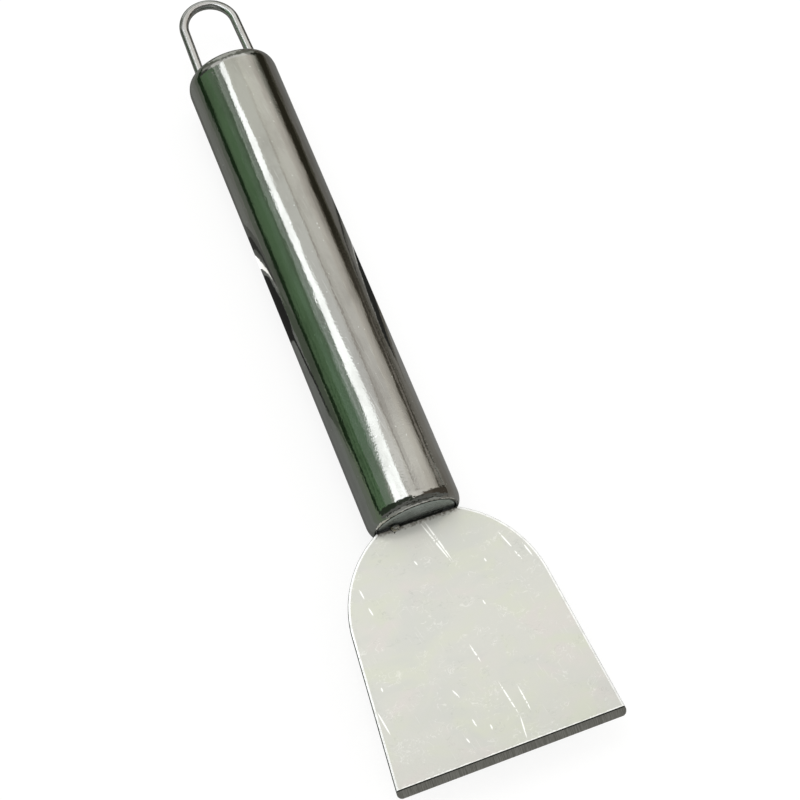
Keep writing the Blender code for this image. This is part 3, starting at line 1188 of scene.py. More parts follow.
@dataclass(frozen=True)
class Blade:
    """Flat plate with a shoulder each side, flared sides, rounded edges and a bevel ground on its front."""

    origin: Vector
    root_radius: float
    reach: float = 64.2 * MM
    thickness: float = 1.2 * MM
    edge_width: float = 60.4 * MM
    flare_deg: float = 5.5
    shoulder_radius: float = 29.5 * MM
    shoulder_steps: int = 64
    corner_radius: float = 1.3 * MM
    corner_steps: int = 12
    root: float = -0.1 * MM
    tang_width: float = 14.0 * MM
    tang_length: float = 28.0 * MM
    grind_length: float = 2.1 * MM
    land: float = 0.2 * MM
    rim_width: float = 0.6 * MM
    rim_drop: float = 0.03 * MM
    front_round: float = 0.2 * MM
    front_round_steps: int = 3
    back_round: float = 0.12 * MM
    back_round_steps: int = 2
    merge: float = 0.005 * MM
    height_margin: float = 0.01 * MM
    crease_deg: float = 20.0
    # How upright a face's normal is where it lies flat, and where it leans no more than the bevel.
    flat: float = 0.9998
    leaning: float = 0.8
    ground_lean: float = -0.3
    least_ground: float = 20 * MM * MM
    root_margin: float = 0.2 * MM
    side_margin: float = 0.3 * MM

    def outline(self) -> Piece:
        """Draw the right half of the outline as edges: straight runs, the shoulder and the corner.

        Returns:
            The chain of edges.
        """
        flare = math.radians(self.flare_deg)
        normal = Vector((math.cos(flare), math.sin(flare)))
        up = Vector((-math.sin(flare), math.cos(flare)))
        edge_corner = Vector((self.edge_width / 2, -self.reach))
        reach = edge_corner - normal * self.shoulder_radius - Vector((self.root_radius, 0))
        along = reach.dot(up)
        rise = -along - math.sqrt(along**2 - reach.length_squared + self.shoulder_radius**2)
        centre = edge_corner + up * rise - normal * self.shoulder_radius
        start = math.asin((self.root - centre.y) / self.shoulder_radius)
        corner_x = edge_corner.x - (self.corner_radius + normal.y * self.corner_radius) / normal.x
        corner = Vector((corner_x, self.corner_radius - self.reach))
        shoulder = centre + self.shoulder_radius * Vector((math.cos(start), math.sin(start)))
        half_tang = self.tang_width / 2
        deselect()
        bpy.ops.mesh.primitive_plane_add(size=MM)
        plate = named("blade_plate")
        edit()
        bpy.ops.mesh.merge(type="CENTER")
        edit("VERT")
        here = Vector((0, self.tang_length))
        bpy.ops.transform.translate(value=(*here, 0))
        for stop in (Vector((half_tang, self.tang_length)), Vector((half_tang, self.root)), shoulder):
            extrude((*(stop - here), 0))
            here = stop
        axis = (0, 0, 1)
        bpy.ops.mesh.spin(steps=self.shoulder_steps, angle=start - flare, center=(*centre, 0), axis=axis)
        here = centre + normal * self.shoulder_radius
        extrude((*(corner + normal * self.corner_radius - here), 0))
        turn = flare + math.pi / 2
        bpy.ops.mesh.spin(steps=self.corner_steps, angle=turn, center=(*corner, 0), axis=axis)
        extrude((-corner_x, 0, 0))
        leave_edit()
        return plate

    def lower_rim(self, plate: Piece) -> None:
        """In edit mode, press a narrow strip along the front's rim down a little, as tumbling does.

        Args:
            plate: The blade.
        """

        def spot(point: bpy.types.MeshVertex) -> tuple[float, float]:
            """Place of a point on the plate, in whole micrometres."""
            return (round(point.co.x / MM, 3), round(point.co.y / MM, 3))

        leave_edit()
        rim = {spot(point) for point in plate.data.vertices if point.co.z > 0}
        pick(plate, "FACE", lambda face: face.normal.z > self.flat)
        bpy.ops.mesh.inset(thickness=self.rim_width, use_even_offset=True)
        pick(plate, "VERT", lambda point: point.co.z > 0 and spot(point) in rim)
        bpy.ops.transform.translate(value=(0, 0, -self.rim_drop))

    def round_rim(self, plate: Piece, height: float, radius: float, steps: int) -> None:
        """In edit mode, round the outline's edges at one height of the plate.

        Args:
            plate: The blade.
            height: The edges' height.
            radius: The rounding's radius.
            steps: How many steps the rounding has.
        """

        def at_height(edge: bpy.types.MeshEdge) -> bool:
            """Test both ends of an edge."""
            return all(abs(plate.data.vertices[v].co.z - height) < self.height_margin for v in edge.vertices)

        pick(plate, "EDGE", at_height)
        bpy.ops.mesh.bevel(offset=radius, segments=steps, affect="EDGES", clamp_overlap=True)

    def grind(self) -> None:
        """In edit mode, cut the bevel across the front and close it."""
        angle = math.atan2(self.thickness - self.land, self.grind_length)
        start = (0, self.grind_length - self.reach, self.thickness / 2)
        normal = (0, -math.sin(angle), math.cos(angle))
        bpy.ops.mesh.select_all(action="SELECT")
        bpy.ops.mesh.bisect(plane_co=start, plane_no=normal, use_fill=True, clear_outer=True)

    def face_kind(self, face: bpy.types.MeshPolygon) -> BladeFace:
        """Tell which finish a face of the seated blade gets.

        Args:
            face: The face.

        Returns:
            Its finish.
        """
        rim_start = self.origin.y + self.root - self.rim_width - self.root_margin
        at_root = face.center.y > rim_start and abs(face.center.x) < self.root_radius - self.side_margin
        front = face.normal.z > self.leaning
        if abs(face.normal.z) > self.flat or (at_root and front):
            return BladeFace.SHEET
        if front and face.normal.y < self.ground_lean and face.area > self.least_ground:
            return BladeFace.GROUND
        return BladeFace.RIM if abs(face.normal.z) > self.leaning else BladeFace.SIDE

    def build(self, finishes: dict[BladeFace, Material]) -> Piece:
        """Model the plate, round its edges and grind its bevel.

        Args:
            finishes: The material of each kind of face.

        Returns:
            The finished blade.
        """
        plate = self.outline()
        mirror = plate.modifiers.new("mirror", "MIRROR")
        mirror.merge_threshold = self.merge
        apply_modifiers(plate)
        activate(plate)
        half = self.thickness / 2
        edit()
        bpy.ops.mesh.remove_doubles(threshold=self.merge)
        bpy.ops.mesh.edge_face_add()
        bpy.ops.transform.translate(value=(0, 0, -half))
        extrude((0, 0, self.thickness))
        self.lower_rim(plate)
        self.round_rim(plate, half - self.rim_drop, self.front_round, self.front_round_steps)
        self.round_rim(plate, -half, self.back_round, self.back_round_steps)
        self.grind()
        leave_edit()
        face_outwards(plate)
        seat(plate, self.origin)
        smooth(plate, self.crease_deg)
        for kind in BladeFace:
            plate.data.materials.append(finishes[kind])
        for face in plate.data.polygons:
            face.material_index = self.face_kind(face).value
        self.crease_between_finishes(plate)
        return plate

    def crease_between_finishes(self, plate: Piece) -> None:
        """Keep each finish's faces shaded apart from the next one's.

        Args:
            plate: The blade.
        """
        finishes: dict[int, set[int]] = {}
        for face in plate.data.polygons:
            for loop in face.loop_indices:
                finishes.setdefault(plate.data.loops[loop].edge_index, set()).add(face.material_index)
        for index, found in finishes.items():
            if len(found) > 1:
                plate.data.edges[index].use_edge_sharp = True


@dataclass(frozen=True)
class TackWeld:
    """A small bead in the corner between the lower cap and the blade's front."""

    origin: Vector
    radius: float = 1.4 * MM
    lump_size: float = 0.7 * MM
    lump_height: float = 0.5 * MM
    lump_level: float = 0.8
    sides: int = 48
    rings: int = 24
    crease_deg: float = 50.0

    def build(self, material: Material) -> Piece:
        """Model a quarter of a lumpy ball.

        Args:
            material: Its finish.

        Returns:
            The finished bead.
        """
        deselect()
        bpy.ops.mesh.primitive_uv_sphere_add(segments=self.sides, ring_count=self.rings, radius=self.radius)
        bead = named("tack_bead")
        for normal in ((0, 1, 0), (0, 0, -1)):
            edit()
            bpy.ops.mesh.bisect(plane_co=(0, 0, 0), plane_no=normal, use_fill=True, clear_outer=True)
        leave_edit()
        lumps = bpy.data.textures.new("bead_lumps", "CLOUDS")
        lumps.noise_scale = self.lump_size
        displace = bead.modifiers.new("lumps", "DISPLACE")
        displace.texture = lumps
        displace.texture_coords = "LOCAL"
        displace.strength = self.lump_height
        displace.mid_level = self.lump_level
        apply_modifiers(bead)
        face_outwards(bead)
        seat(bead, self.origin)
        return finish(bead, self.crease_deg, material)


@dataclass(frozen=True)
class Scraper:
    """The whole scraper, with its pieces in the order in which they are put together."""

    origin: Vector
    length: float
    root_radius: float = 10.7 * MM
    slot_gap: float = 0.3 * MM
    hole_gap: float = 0.25 * MM
    slot_ends: tuple[float, float] = (-2 * MM, 4 * MM)
    hole_depth: float = 4 * MM
    hole_length: float = 6 * MM
    tack_place: tuple[float, float] = (-6.0 * MM, 0.9 * MM)
    hidden_welds: tuple[str, ...] = ("tang_weld_front", "tang_weld_back", "loop_weld_left", "loop_weld_right")

    def slot(self, blade: Blade) -> Piece:
        """Make the cutter of the lower cap's slot.

        Args:
            blade: The blade that goes through it.

        Returns:
            The cutter.
        """
        start, end = self.slot_ends
        high = Vector((blade.tang_width / 2 + self.slot_gap, end, blade.thickness / 2 + self.slot_gap))
        return block("slot_cutter", self.origin + Vector((-high.x, start, -high.z)), self.origin + high)

    def holes(self, loop: HangingLoop) -> list[Piece]:
        """Make the cutters of the upper cap's holes.

        Args:
            loop: The loop whose legs go through them.

        Returns:
            The cutters.
        """
        radius = loop.wire_radius + self.hole_gap
        low = self.length - self.hole_depth
        feet = [Vector((side.value * loop.foot_offset, low, 0)) for side in Side]
        return [drill("leg_cutter", radius, self.origin + foot, self.hole_length) for foot in feet]

    def build(self) -> None:
        """Build, dress and hand over each piece, and dress the welds that stay as CAD nodes."""
        tube = Tube(self.origin, self.length)
        blade = Blade(self.origin, self.root_radius)
        loop = HangingLoop(self.origin, self.length)
        polished = MirrorPolishedTube(self.origin.y + self.length / 2, self.length / 2)
        hand_over(tube.build(polished.material()), "handle_tube")
        cap_steel = PressedCapSteel(self.origin.z).material()
        lower = Cap(self.origin, HandleEnd.BLADE, tube)
        hand_over(lower.build(cap_steel, [self.slot(blade)]), "blade_end_cap")
        upper = Cap(self.origin, HandleEnd.LOOP, tube)
        hand_over(upper.build(cap_steel, self.holes(loop)), "loop_end_cap")
        hand_over(loop.build(BrightDrawnWire().material()), "hanging_loop")
        front = self.origin + Vector((0, 0, blade.thickness / 2))
        finishes = {
            BladeFace.SHEET: ColdRolledSheet(front).material(),
            BladeFace.GROUND: BeltGroundBevel(self.origin.y + blade.grind_length - blade.reach).material(),
            BladeFace.RIM: TumbledEdge().material(),
            BladeFace.SIDE: ShearedEdge().material(),
        }
        hand_over(blade.build(finishes), "blade")
        weld = WeldBead().material()
        across, up = self.tack_place
        tack = TackWeld(self.origin + Vector((across, blade.root, up)))
        hand_over(tack.build(weld), "tack_weld")
        for node in self.hidden_welds:
            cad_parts[node].material_slots[0].material = weld
            LOG.info("%s keeps its solid, with the weld finish", node)


# ---------------------------------------------------------------- the room that the steel mirrors

Light = tuple[float, float, float]
Place = tuple[float, float]
Corners = tuple[Place, Place, Place, Place]


class Fade(Enum):
    """Which way a card's light changes to its second colour."""

    ACROSS = "X"
    ALONG = "Y"


@dataclass(frozen=True)
class Card:
    """One card of the light tent, seen only in reflections.

    Its two sides are given by angles round the handle's axis, from straight up and positive to the right, and
    its two ends by places along the handle, from its lower end. A card of a higher layer hangs before others.
    Flecks, as of leaves, are lighter and darker than the card by a share of its light.
    """

    sides: Place
    ends: Place
    light: Light
    fades_to: Light | None = None
    fade: Fade = Fade.ACROSS
    far_sides: Place | None = None
    layer: int = 0
    flecks: float = 0.0


@dataclass(frozen=True)
class Strip:
    """One flat strip on the floor beside the handle, seen only in reflections.

    Its corners are near left, near right, far left and far right, each from the handle's lower end.
    """

    corners: Corners
    light: Light
    layer: int = 0


def oblong(sides: Place, ends: Place) -> Corners:
    """Give the four corners of a strip with its sides along the handle."""
    return ((sides[0], ends[0]), (sides[1], ends[0]), (sides[0], ends[1]), (sides[1], ends[1]))


BLACK: Light = (0.022, 0.024, 0.018)
SKIRTING: Light = (0.014, 0.030, 0.013)
GREEN: Light = (0.084, 0.142, 0.078)
LEAF_GREEN: Light = (0.100, 0.176, 0.096)
BRIGHT_GREEN: Light = (0.120, 0.203, 0.122)
LAWN: Light = (0.128, 0.210, 0.134)
SHADED_GREEN: Light = (0.045, 0.090, 0.042)
GREY_GREEN: Light = (0.28, 0.34, 0.28)
WINDOW: Light = (1.64, 1.71, 1.76)
UPPER_WALL: Light = (0.705, 0.720, 0.660)
WARM_WALL: Light = (0.800, 0.800, 0.745)
SHADED_WALL: Light = (0.415, 0.400, 0.370)
DARK_BROWN: Light = (0.027, 0.025, 0.017)
BLADE_WALL: Light = (0.92, 0.91, 0.89)
DIM_MAT: Light = (0.11, 0.115, 0.108)
DARK_LINE: Light = (0.040, 0.041, 0.039)
DARK_GAP: Light = (0.026, 0.027, 0.026)
WHITE_STRAP: Light = (1.5, 1.5, 1.5)
GREY_STRAP: Light = (0.5, 0.5, 0.48)

# Stretches of the tent along the handle, and its whole width in degrees.
BEYOND, ALL_ROUND = (0.61, 1.25), (-98, 94)
BESIDE, SEAM = (-0.23, 0.455), (0.15, 0.28)
HIGH, LOW, DOOR_LOW, DOOR_HIGH = (0.205, 0.455), (0.148, 0.205), (0.165, 0.30), (0.30, 0.455)
NEAR, FRONT, BLADE_SIDE = (-0.23, -0.06), (-0.06, 0.148), (-0.23, 0.148)
AT_LOOP = (0.455, 0.61)
ALONG = Fade.ALONG

# Plain cards behind all others, and the two stretches beyond the handle's ends.
BACKING: tuple[Card, ...] = (
    Card(ALL_ROUND, (-0.33, 0.70), (0.30, 0.31, 0.29), layer=-1),
    # The side where the camera stands is dark, and the wall behind it is pale.
    Card(ALL_ROUND, (-0.75, -0.23), (0.125, 0.125, 0.12)),
    Card(ALL_ROUND, (-1.25, -0.75), (0.34, 0.35, 0.34)),
    Card((-98, -20), (-1.25, -0.30), (0.30, 0.31, 0.30), layer=1),
    Card((50, 94), (-1.25, -0.30), (0.30, 0.31, 0.30), layer=1),
    Card(ALL_ROUND, (-0.33, -0.23), BLACK, layer=1),
    Card((-98, -50), BEYOND, (0.13, 0.14, 0.12)),
    Card((-50, -36), BEYOND, (0.22, 0.26, 0.22)),
    Card((-36, 38), BEYOND, (0.56, 0.58, 0.56)),
    Card((38, 60), BEYOND, (0.24, 0.24, 0.22)),
    Card((60, 94), BEYOND, (0.16, 0.16, 0.14)),
    Card(ALL_ROUND, (0.61, 0.70), (0.30, 0.31, 0.29), layer=1),
    Card(ALL_ROUND, (0.70, 0.86), (0.16, 0.17, 0.15), layer=1),
)

# Left of the window: a dark skirting, then greenery, and a paler strip beside the window.
LEFT_CARDS: tuple[Card, ...] = (
    Card((-98, -93.5), BESIDE, SKIRTING),
    Card((-93.5, -86.5), BESIDE, SKIRTING, GREEN, flecks=0.3),
    Card((-86.5, -79), BESIDE, GREEN, (0.092, 0.160, 0.086), flecks=0.3),
    Card((-79, -65), BESIDE, (0.090, 0.160, 0.084), LEAF_GREEN, flecks=0.3),
    Card((-65, -47), (-0.23, 0.165), (0.19, 0.255, 0.195)),
    Card((-65, -47), (0.165, 0.195), (0.185, 0.250, 0.19), LAWN, ALONG, flecks=0.5),
    Card((-65, -53), (0.195, 0.270), LAWN, BRIGHT_GREEN, ALONG, flecks=0.4),
    Card((-65, -53), (0.270, 0.455), BRIGHT_GREEN, (0.104, 0.162, 0.101), ALONG, flecks=0.4),
    Card((-53, -47), (0.195, 0.250), LAWN, (0.106, 0.165, 0.103), ALONG, flecks=0.4),
    Card((-53, -47), (0.250, 0.455), (0.106, 0.165, 0.103), (0.085, 0.128, 0.082), ALONG, flecks=0.3),
    Card((-98, -86), (-0.23, 0.175), SKIRTING, layer=1),
    Card((-98, -86), (0.175, 0.23), SKIRTING, far_sides=(-98, -89), layer=1),
    Card((-98, -89), (0.23, 0.455), SKIRTING, far_sides=(-98, -91), layer=1),
    Card((-80.3, -78.4), SEAM, SHADED_GREEN, layer=1),
    Card((-71.5, -69), (0.15, 0.225), SHADED_GREEN, layer=1),
    Card((-47, -43), (0.165, 0.455), (0.17, 0.245, 0.18), (0.26, 0.335, 0.26), ALONG, flecks=1.0),
    Card((-43, -39.5), (0.165, 0.455), (0.34, 0.43, 0.36), (0.19, 0.235, 0.19), ALONG, flecks=1.0),
    Card((-39.5, -26), (0.165, 0.455), (0.25, 0.315, 0.26), (0.19, 0.235, 0.19), ALONG, flecks=1.0),
)

# The window strip, which widens towards the blade: a place along the handle, and the strip's sides there.
WINDOW_EDGES: tuple[tuple[float, Place], ...] = (
    (0.148, (-40.0, -11.0)),
    (0.160, (-37.5, -11.0)),
    (0.170, (-33.5, -9.5)),
    (0.182, (-29.0, -5.5)),
    (0.195, (-26.5, -3.0)),
    (0.209, (-26.5, -4.8)),
    (0.230, (-29.3, -8.8)),
    (0.260, (-29.3, -11.5)),
    (0.281, (-29.8, -13.9)),
    (0.322, (-31.0, -15.5)),
    (0.353, (-31.7, -16.8)),
    (0.384, (-30.5, -17.8)),
    (0.425, (-28.7, -17.0)),
    (0.460, (-28.5, -15.8)),
)

# Right of the window: the wall with one thin dark line, then a dark doorway with two pale posts.
RIGHT_CARDS: tuple[Card, ...] = (
    Card((-26, 13.5), HIGH, (0.74, 0.75, 0.76), UPPER_WALL, ALONG),
    Card((-26, 13.5), LOW, (0.90, 0.90, 0.89), (0.80, 0.80, 0.80), ALONG),
    Card((13.3, 17.8), (0.148, 0.281), (0.47, 0.455, 0.43), (0.42, 0.40, 0.375), ALONG, layer=1),
    Card((13.3, 17.8), (0.281, 0.455), (0.43, 0.41, 0.385), (0.75, 0.75, 0.69), ALONG, layer=1),
    Card((5, 13.5), (0.205, 0.30), (0.67, 0.67, 0.67), (0.68, 0.68, 0.65), ALONG, layer=1),
    Card((17.8, 26), HIGH, (0.54, 0.525, 0.51), (0.82, 0.83, 0.765), ALONG),
    Card((4, 13.5), LOW, (0.80, 0.79, 0.75), (0.67, 0.66, 0.64), ALONG, layer=1),
    Card((17.8, 26), LOW, (0.68, 0.67, 0.645), (0.60, 0.585, 0.56), ALONG),
    Card((26, 46), HIGH, (0.66, 0.65, 0.635), WARM_WALL, ALONG),
    Card((26, 46), LOW, (0.86, 0.85, 0.81), (0.70, 0.69, 0.665), ALONG),
    Card((46, 58), HIGH, (0.70, 0.68, 0.64), (0.57, 0.545, 0.51)),
    Card((46, 58), LOW, (0.76, 0.74, 0.70), (0.66, 0.64, 0.595)),
    Card((58, 66), (0.195, 0.395), (0.575, 0.55, 0.52), SHADED_WALL),
    Card((58, 66), (0.148, 0.195), (0.70, 0.68, 0.64), (0.50, 0.48, 0.45)),
    Card((58, 66), (0.395, 0.455), (0.53, 0.53, 0.48), (0.26, 0.26, 0.235)),
    Card((66, 70.5), (0.148, 0.395), (0.43, 0.415, 0.385), (0.35, 0.335, 0.30)),
    Card((66, 70.5), (0.395, 0.455), (0.26, 0.26, 0.235), (0.13, 0.13, 0.11)),
    Card((70.5, 75), (0.148, 0.395), (0.26, 0.24, 0.21), (0.05, 0.042, 0.032)),
    Card((70.5, 75), (0.395, 0.455), (0.13, 0.13, 0.11), (0.045, 0.043, 0.03)),
    Card((75, 94), DOOR_LOW, (0.085, 0.08, 0.068), (0.045, 0.04, 0.03), ALONG),
    Card((75, 94), DOOR_HIGH, DARK_BROWN),
    Card((77, 82.5), (0.148, 0.30), (0.32, 0.30, 0.275), (0.055, 0.048, 0.036), ALONG, (82, 86.5), 1),
    Card((89.5, 94), (0.148, 0.31), (0.40, 0.38, 0.35), (0.05, 0.045, 0.035), ALONG, layer=1),
)

# The soft wall that the blade mirrors, and its brighter sides, which its rim catches.
BLADE_CARDS: tuple[Card, ...] = (
    Card((-47, -40), BLADE_SIDE, GREY_GREEN, (0.7, 0.75, 0.7)),
    Card((-40, -9), (-0.23, 0.165), WINDOW),
    Card((-9, 32), FRONT, BLADE_WALL),
    Card((32, 58), FRONT, (0.90, 0.89, 0.85), (0.74, 0.72, 0.67)),
    Card((58, 71), BLADE_SIDE, (0.72, 0.70, 0.65), (0.34, 0.32, 0.29)),
    Card((71, 94), BLADE_SIDE, DARK_BROWN),
    Card((77.5, 82), BLADE_SIDE, (0.20, 0.19, 0.17), layer=1),
    Card((89.5, 94), BLADE_SIDE, (0.36, 0.34, 0.31), layer=1),
    # The dark floor between the window and the bench, which only the spun-in end of the tube mirrors.
    Card((-98, -40), (-0.06, 0.108), (0.030, 0.042, 0.028), layer=3),
    Card((-40, 0), (-0.06, 0.080), (0.040, 0.048, 0.038), layer=3),
    Card((0, 24), (-0.06, 0.004), (0.060, 0.060, 0.050), layer=3),
    Card((24, 46), (-0.06, 0.060), (0.115, 0.100, 0.085), layer=3),
    Card((46, 94), (-0.06, 0.095), (0.070, 0.060, 0.048), layer=3),
    Card((-98, 94), NEAR, (0.14, 0.145, 0.14), layer=3),
)

# Beyond the handle's upper end: a neutral pale stretch for the wire, with dark sides.
LOOP_CARDS: tuple[Card, ...] = (
    Card((-98, -64), AT_LOOP, (0.05, 0.055, 0.05)),
    Card((-64, -52), AT_LOOP, (0.10, 0.11, 0.10), (0.45, 0.46, 0.45)),
    Card((-52, -20), AT_LOOP, (0.70, 0.71, 0.71)),
    Card((-20, 50), AT_LOOP, (0.86, 0.87, 0.86)),
    Card((50, 64), AT_LOOP, (0.60, 0.60, 0.58), (0.16, 0.16, 0.15)),
    Card((64, 94), AT_LOOP, BLACK),
)

# The cards that close the tent's two ends, with their places along Y.
TENT_ENDS = (("end_far", 1.25, (0.56, 0.58, 0.56)), ("end_near", -1.25, (0.60, 0.61, 0.60)))

# The mats that the handle's sides mirror: left and right side, and the light before and behind the strap.
MATS = (
    (-1.2, -0.110, (0.15, 0.195, 0.135), (0.10, 0.14, 0.095)),
    (-0.110, -0.048, (0.165, 0.19, 0.16), (0.125, 0.145, 0.12)),
    (-0.048, -0.033, (0.195, 0.21, 0.20), (0.18, 0.19, 0.175)),
    (-0.033, -0.019, (0.185, 0.195, 0.19), (0.205, 0.215, 0.205)),
    (-0.019, 0.019, (0.145, 0.15, 0.145), (0.14, 0.145, 0.135)),
    (0.019, 0.045, (0.250, 0.250, 0.245), (0.20, 0.20, 0.195)),
    (0.045, 0.095, (0.225, 0.218, 0.205), (0.175, 0.17, 0.16)),
    (0.095, 1.2, (0.20, 0.193, 0.175), (0.16, 0.155, 0.14)),
)
MAT_ENDS = ((-1.25, 0.088), (0.088, 1.25))

# A strap across the mat below the middle of the handle, pale with a dark shadow on either side.
STRAP: tuple[Strip, ...] = (
    # On the left: the dim stretch behind the strap, its dark line, the strap, and the gap before it.
    Strip(((-0.045, 0.0885), (-0.0118, 0.0910), (-0.045, 0.1000), (-0.0118, 0.1010)), DIM_MAT, 1),
    Strip(((-0.022, 0.0930), (-0.0118, 0.0915), (-0.022, 0.0972), (-0.0118, 0.0955)), DARK_LINE, 2),
    Strip(((-0.031, 0.0912), (-0.022, 0.0930), (-0.031, 0.0950), (-0.022, 0.0972)), DARK_LINE, 2),
    Strip(((-0.040, 0.0862), (-0.031, 0.0912), (-0.041, 0.0890), (-0.031, 0.0950)), DARK_LINE, 2),
    Strip(((-0.0335, 0.0866), (-0.008, 0.0855), (-0.0335, 0.0878), (-0.008, 0.0905)), WHITE_STRAP, 3),
    Strip(((-0.0430, 0.0815), (-0.0335, 0.0866), (-0.0430, 0.0824), (-0.0335, 0.0878)), GREY_STRAP, 3),
    Strip(((-0.0255, 0.0645), (-0.0118, 0.0618), (-0.0255, 0.0848), (-0.0118, 0.0832)), DARK_GAP, 2),
    Strip(((-0.0365, 0.0745), (-0.0255, 0.0645), (-0.0355, 0.0805), (-0.0255, 0.0848)), DARK_GAP, 2),
    Strip(((-0.110, 0.050), (-0.040, 0.045), (-0.110, 0.100), (-0.037, 0.085)), (0.090, 0.110, 0.085), 1),
    Strip(((-0.049, 0.0478), (-0.0440, 0.0455), (-0.0285, 0.0670), (-0.0225, 0.0650)), DARK_GAP, 2),
    # On the right: its dark line, the paler strap with one bright edge, and the gap with a soft border.
    Strip(((0.0118, 0.0920), (0.045, 0.0920), (0.0118, 0.1010), (0.045, 0.1030)), (0.14, 0.14, 0.13), 1),
    Strip(((0.0118, 0.0945), (0.045, 0.0968), (0.0118, 0.0985), (0.045, 0.1003)), DARK_LINE, 2),
    Strip(((0.045, 0.0968), (0.120, 0.1100), (0.045, 0.1003), (0.120, 0.1150)), DARK_LINE, 2),
    Strip(oblong((0.0118, 0.105), (0.0862, 0.0925)), (0.20, 0.20, 0.195), 2),
    Strip(oblong((0.0118, 0.095), (0.0847, 0.0862)), (0.55, 0.55, 0.54), 3),
    Strip(((0.0118, 0.0700), (0.060, 0.0605), (0.0118, 0.0847), (0.100, 0.0840)), DARK_GAP, 2),
    Strip(((0.0118, 0.0635), (0.064, 0.0530), (0.0118, 0.0700), (0.062, 0.0605)), (0.13, 0.125, 0.11), 1),
)

# Dark things on the floor: a skirting on the left, and the doorway with its shadow on the right.
LOW_FURNITURE: tuple[Strip, ...] = (
    Strip(((-0.7, 0.0835), (-0.143, 0.0805), (-0.7, 0.105), (-0.112, 0.105)), SKIRTING, 2),
    Strip(((-0.7, 0.105), (-0.112, 0.105), (-0.7, 0.140), (-0.106, 0.140)), SKIRTING, 2),
    Strip(((-0.7, 0.140), (-0.106, 0.140), (-0.7, 0.180), (-0.087, 0.180)), SKIRTING, 2),
    Strip(oblong((-0.7, -0.087), (0.180, 0.6)), SKIRTING, 2),
    Strip(((0.105, 0.14), (1.2, 0.14), (0.095, 0.60), (1.2, 0.60)), (0.08, 0.078, 0.06), 1),
    Strip(((0.23, 0.19), (1.2, 0.19), (0.17, 0.60), (1.2, 0.60)), DARK_BROWN, 2),
)

# Each lamp's name, place, size and power.
LAMPS = (("lamp_above", (-0.15, 0.25, 0.9), 0.6, 3.2), ("lamp_side", (0.8, -0.3, 0.7), 0.5, 1.6))


def window_cards() -> list[Card]:
    """Join the window strip from its edges."""
    joins = zip(WINDOW_EDGES, WINDOW_EDGES[1:])
    return [Card(near[1], (near[0], far[0]), WINDOW, far_sides=far[1], layer=2) for near, far in joins]


def mats() -> list[Strip]:
    """Lay each mat before and behind the strap."""
    return [
        Strip(oblong((left, right), ends), light)
        for left, right, *lights in MATS
        for ends, light in zip(MAT_ENDS, lights)
    ]


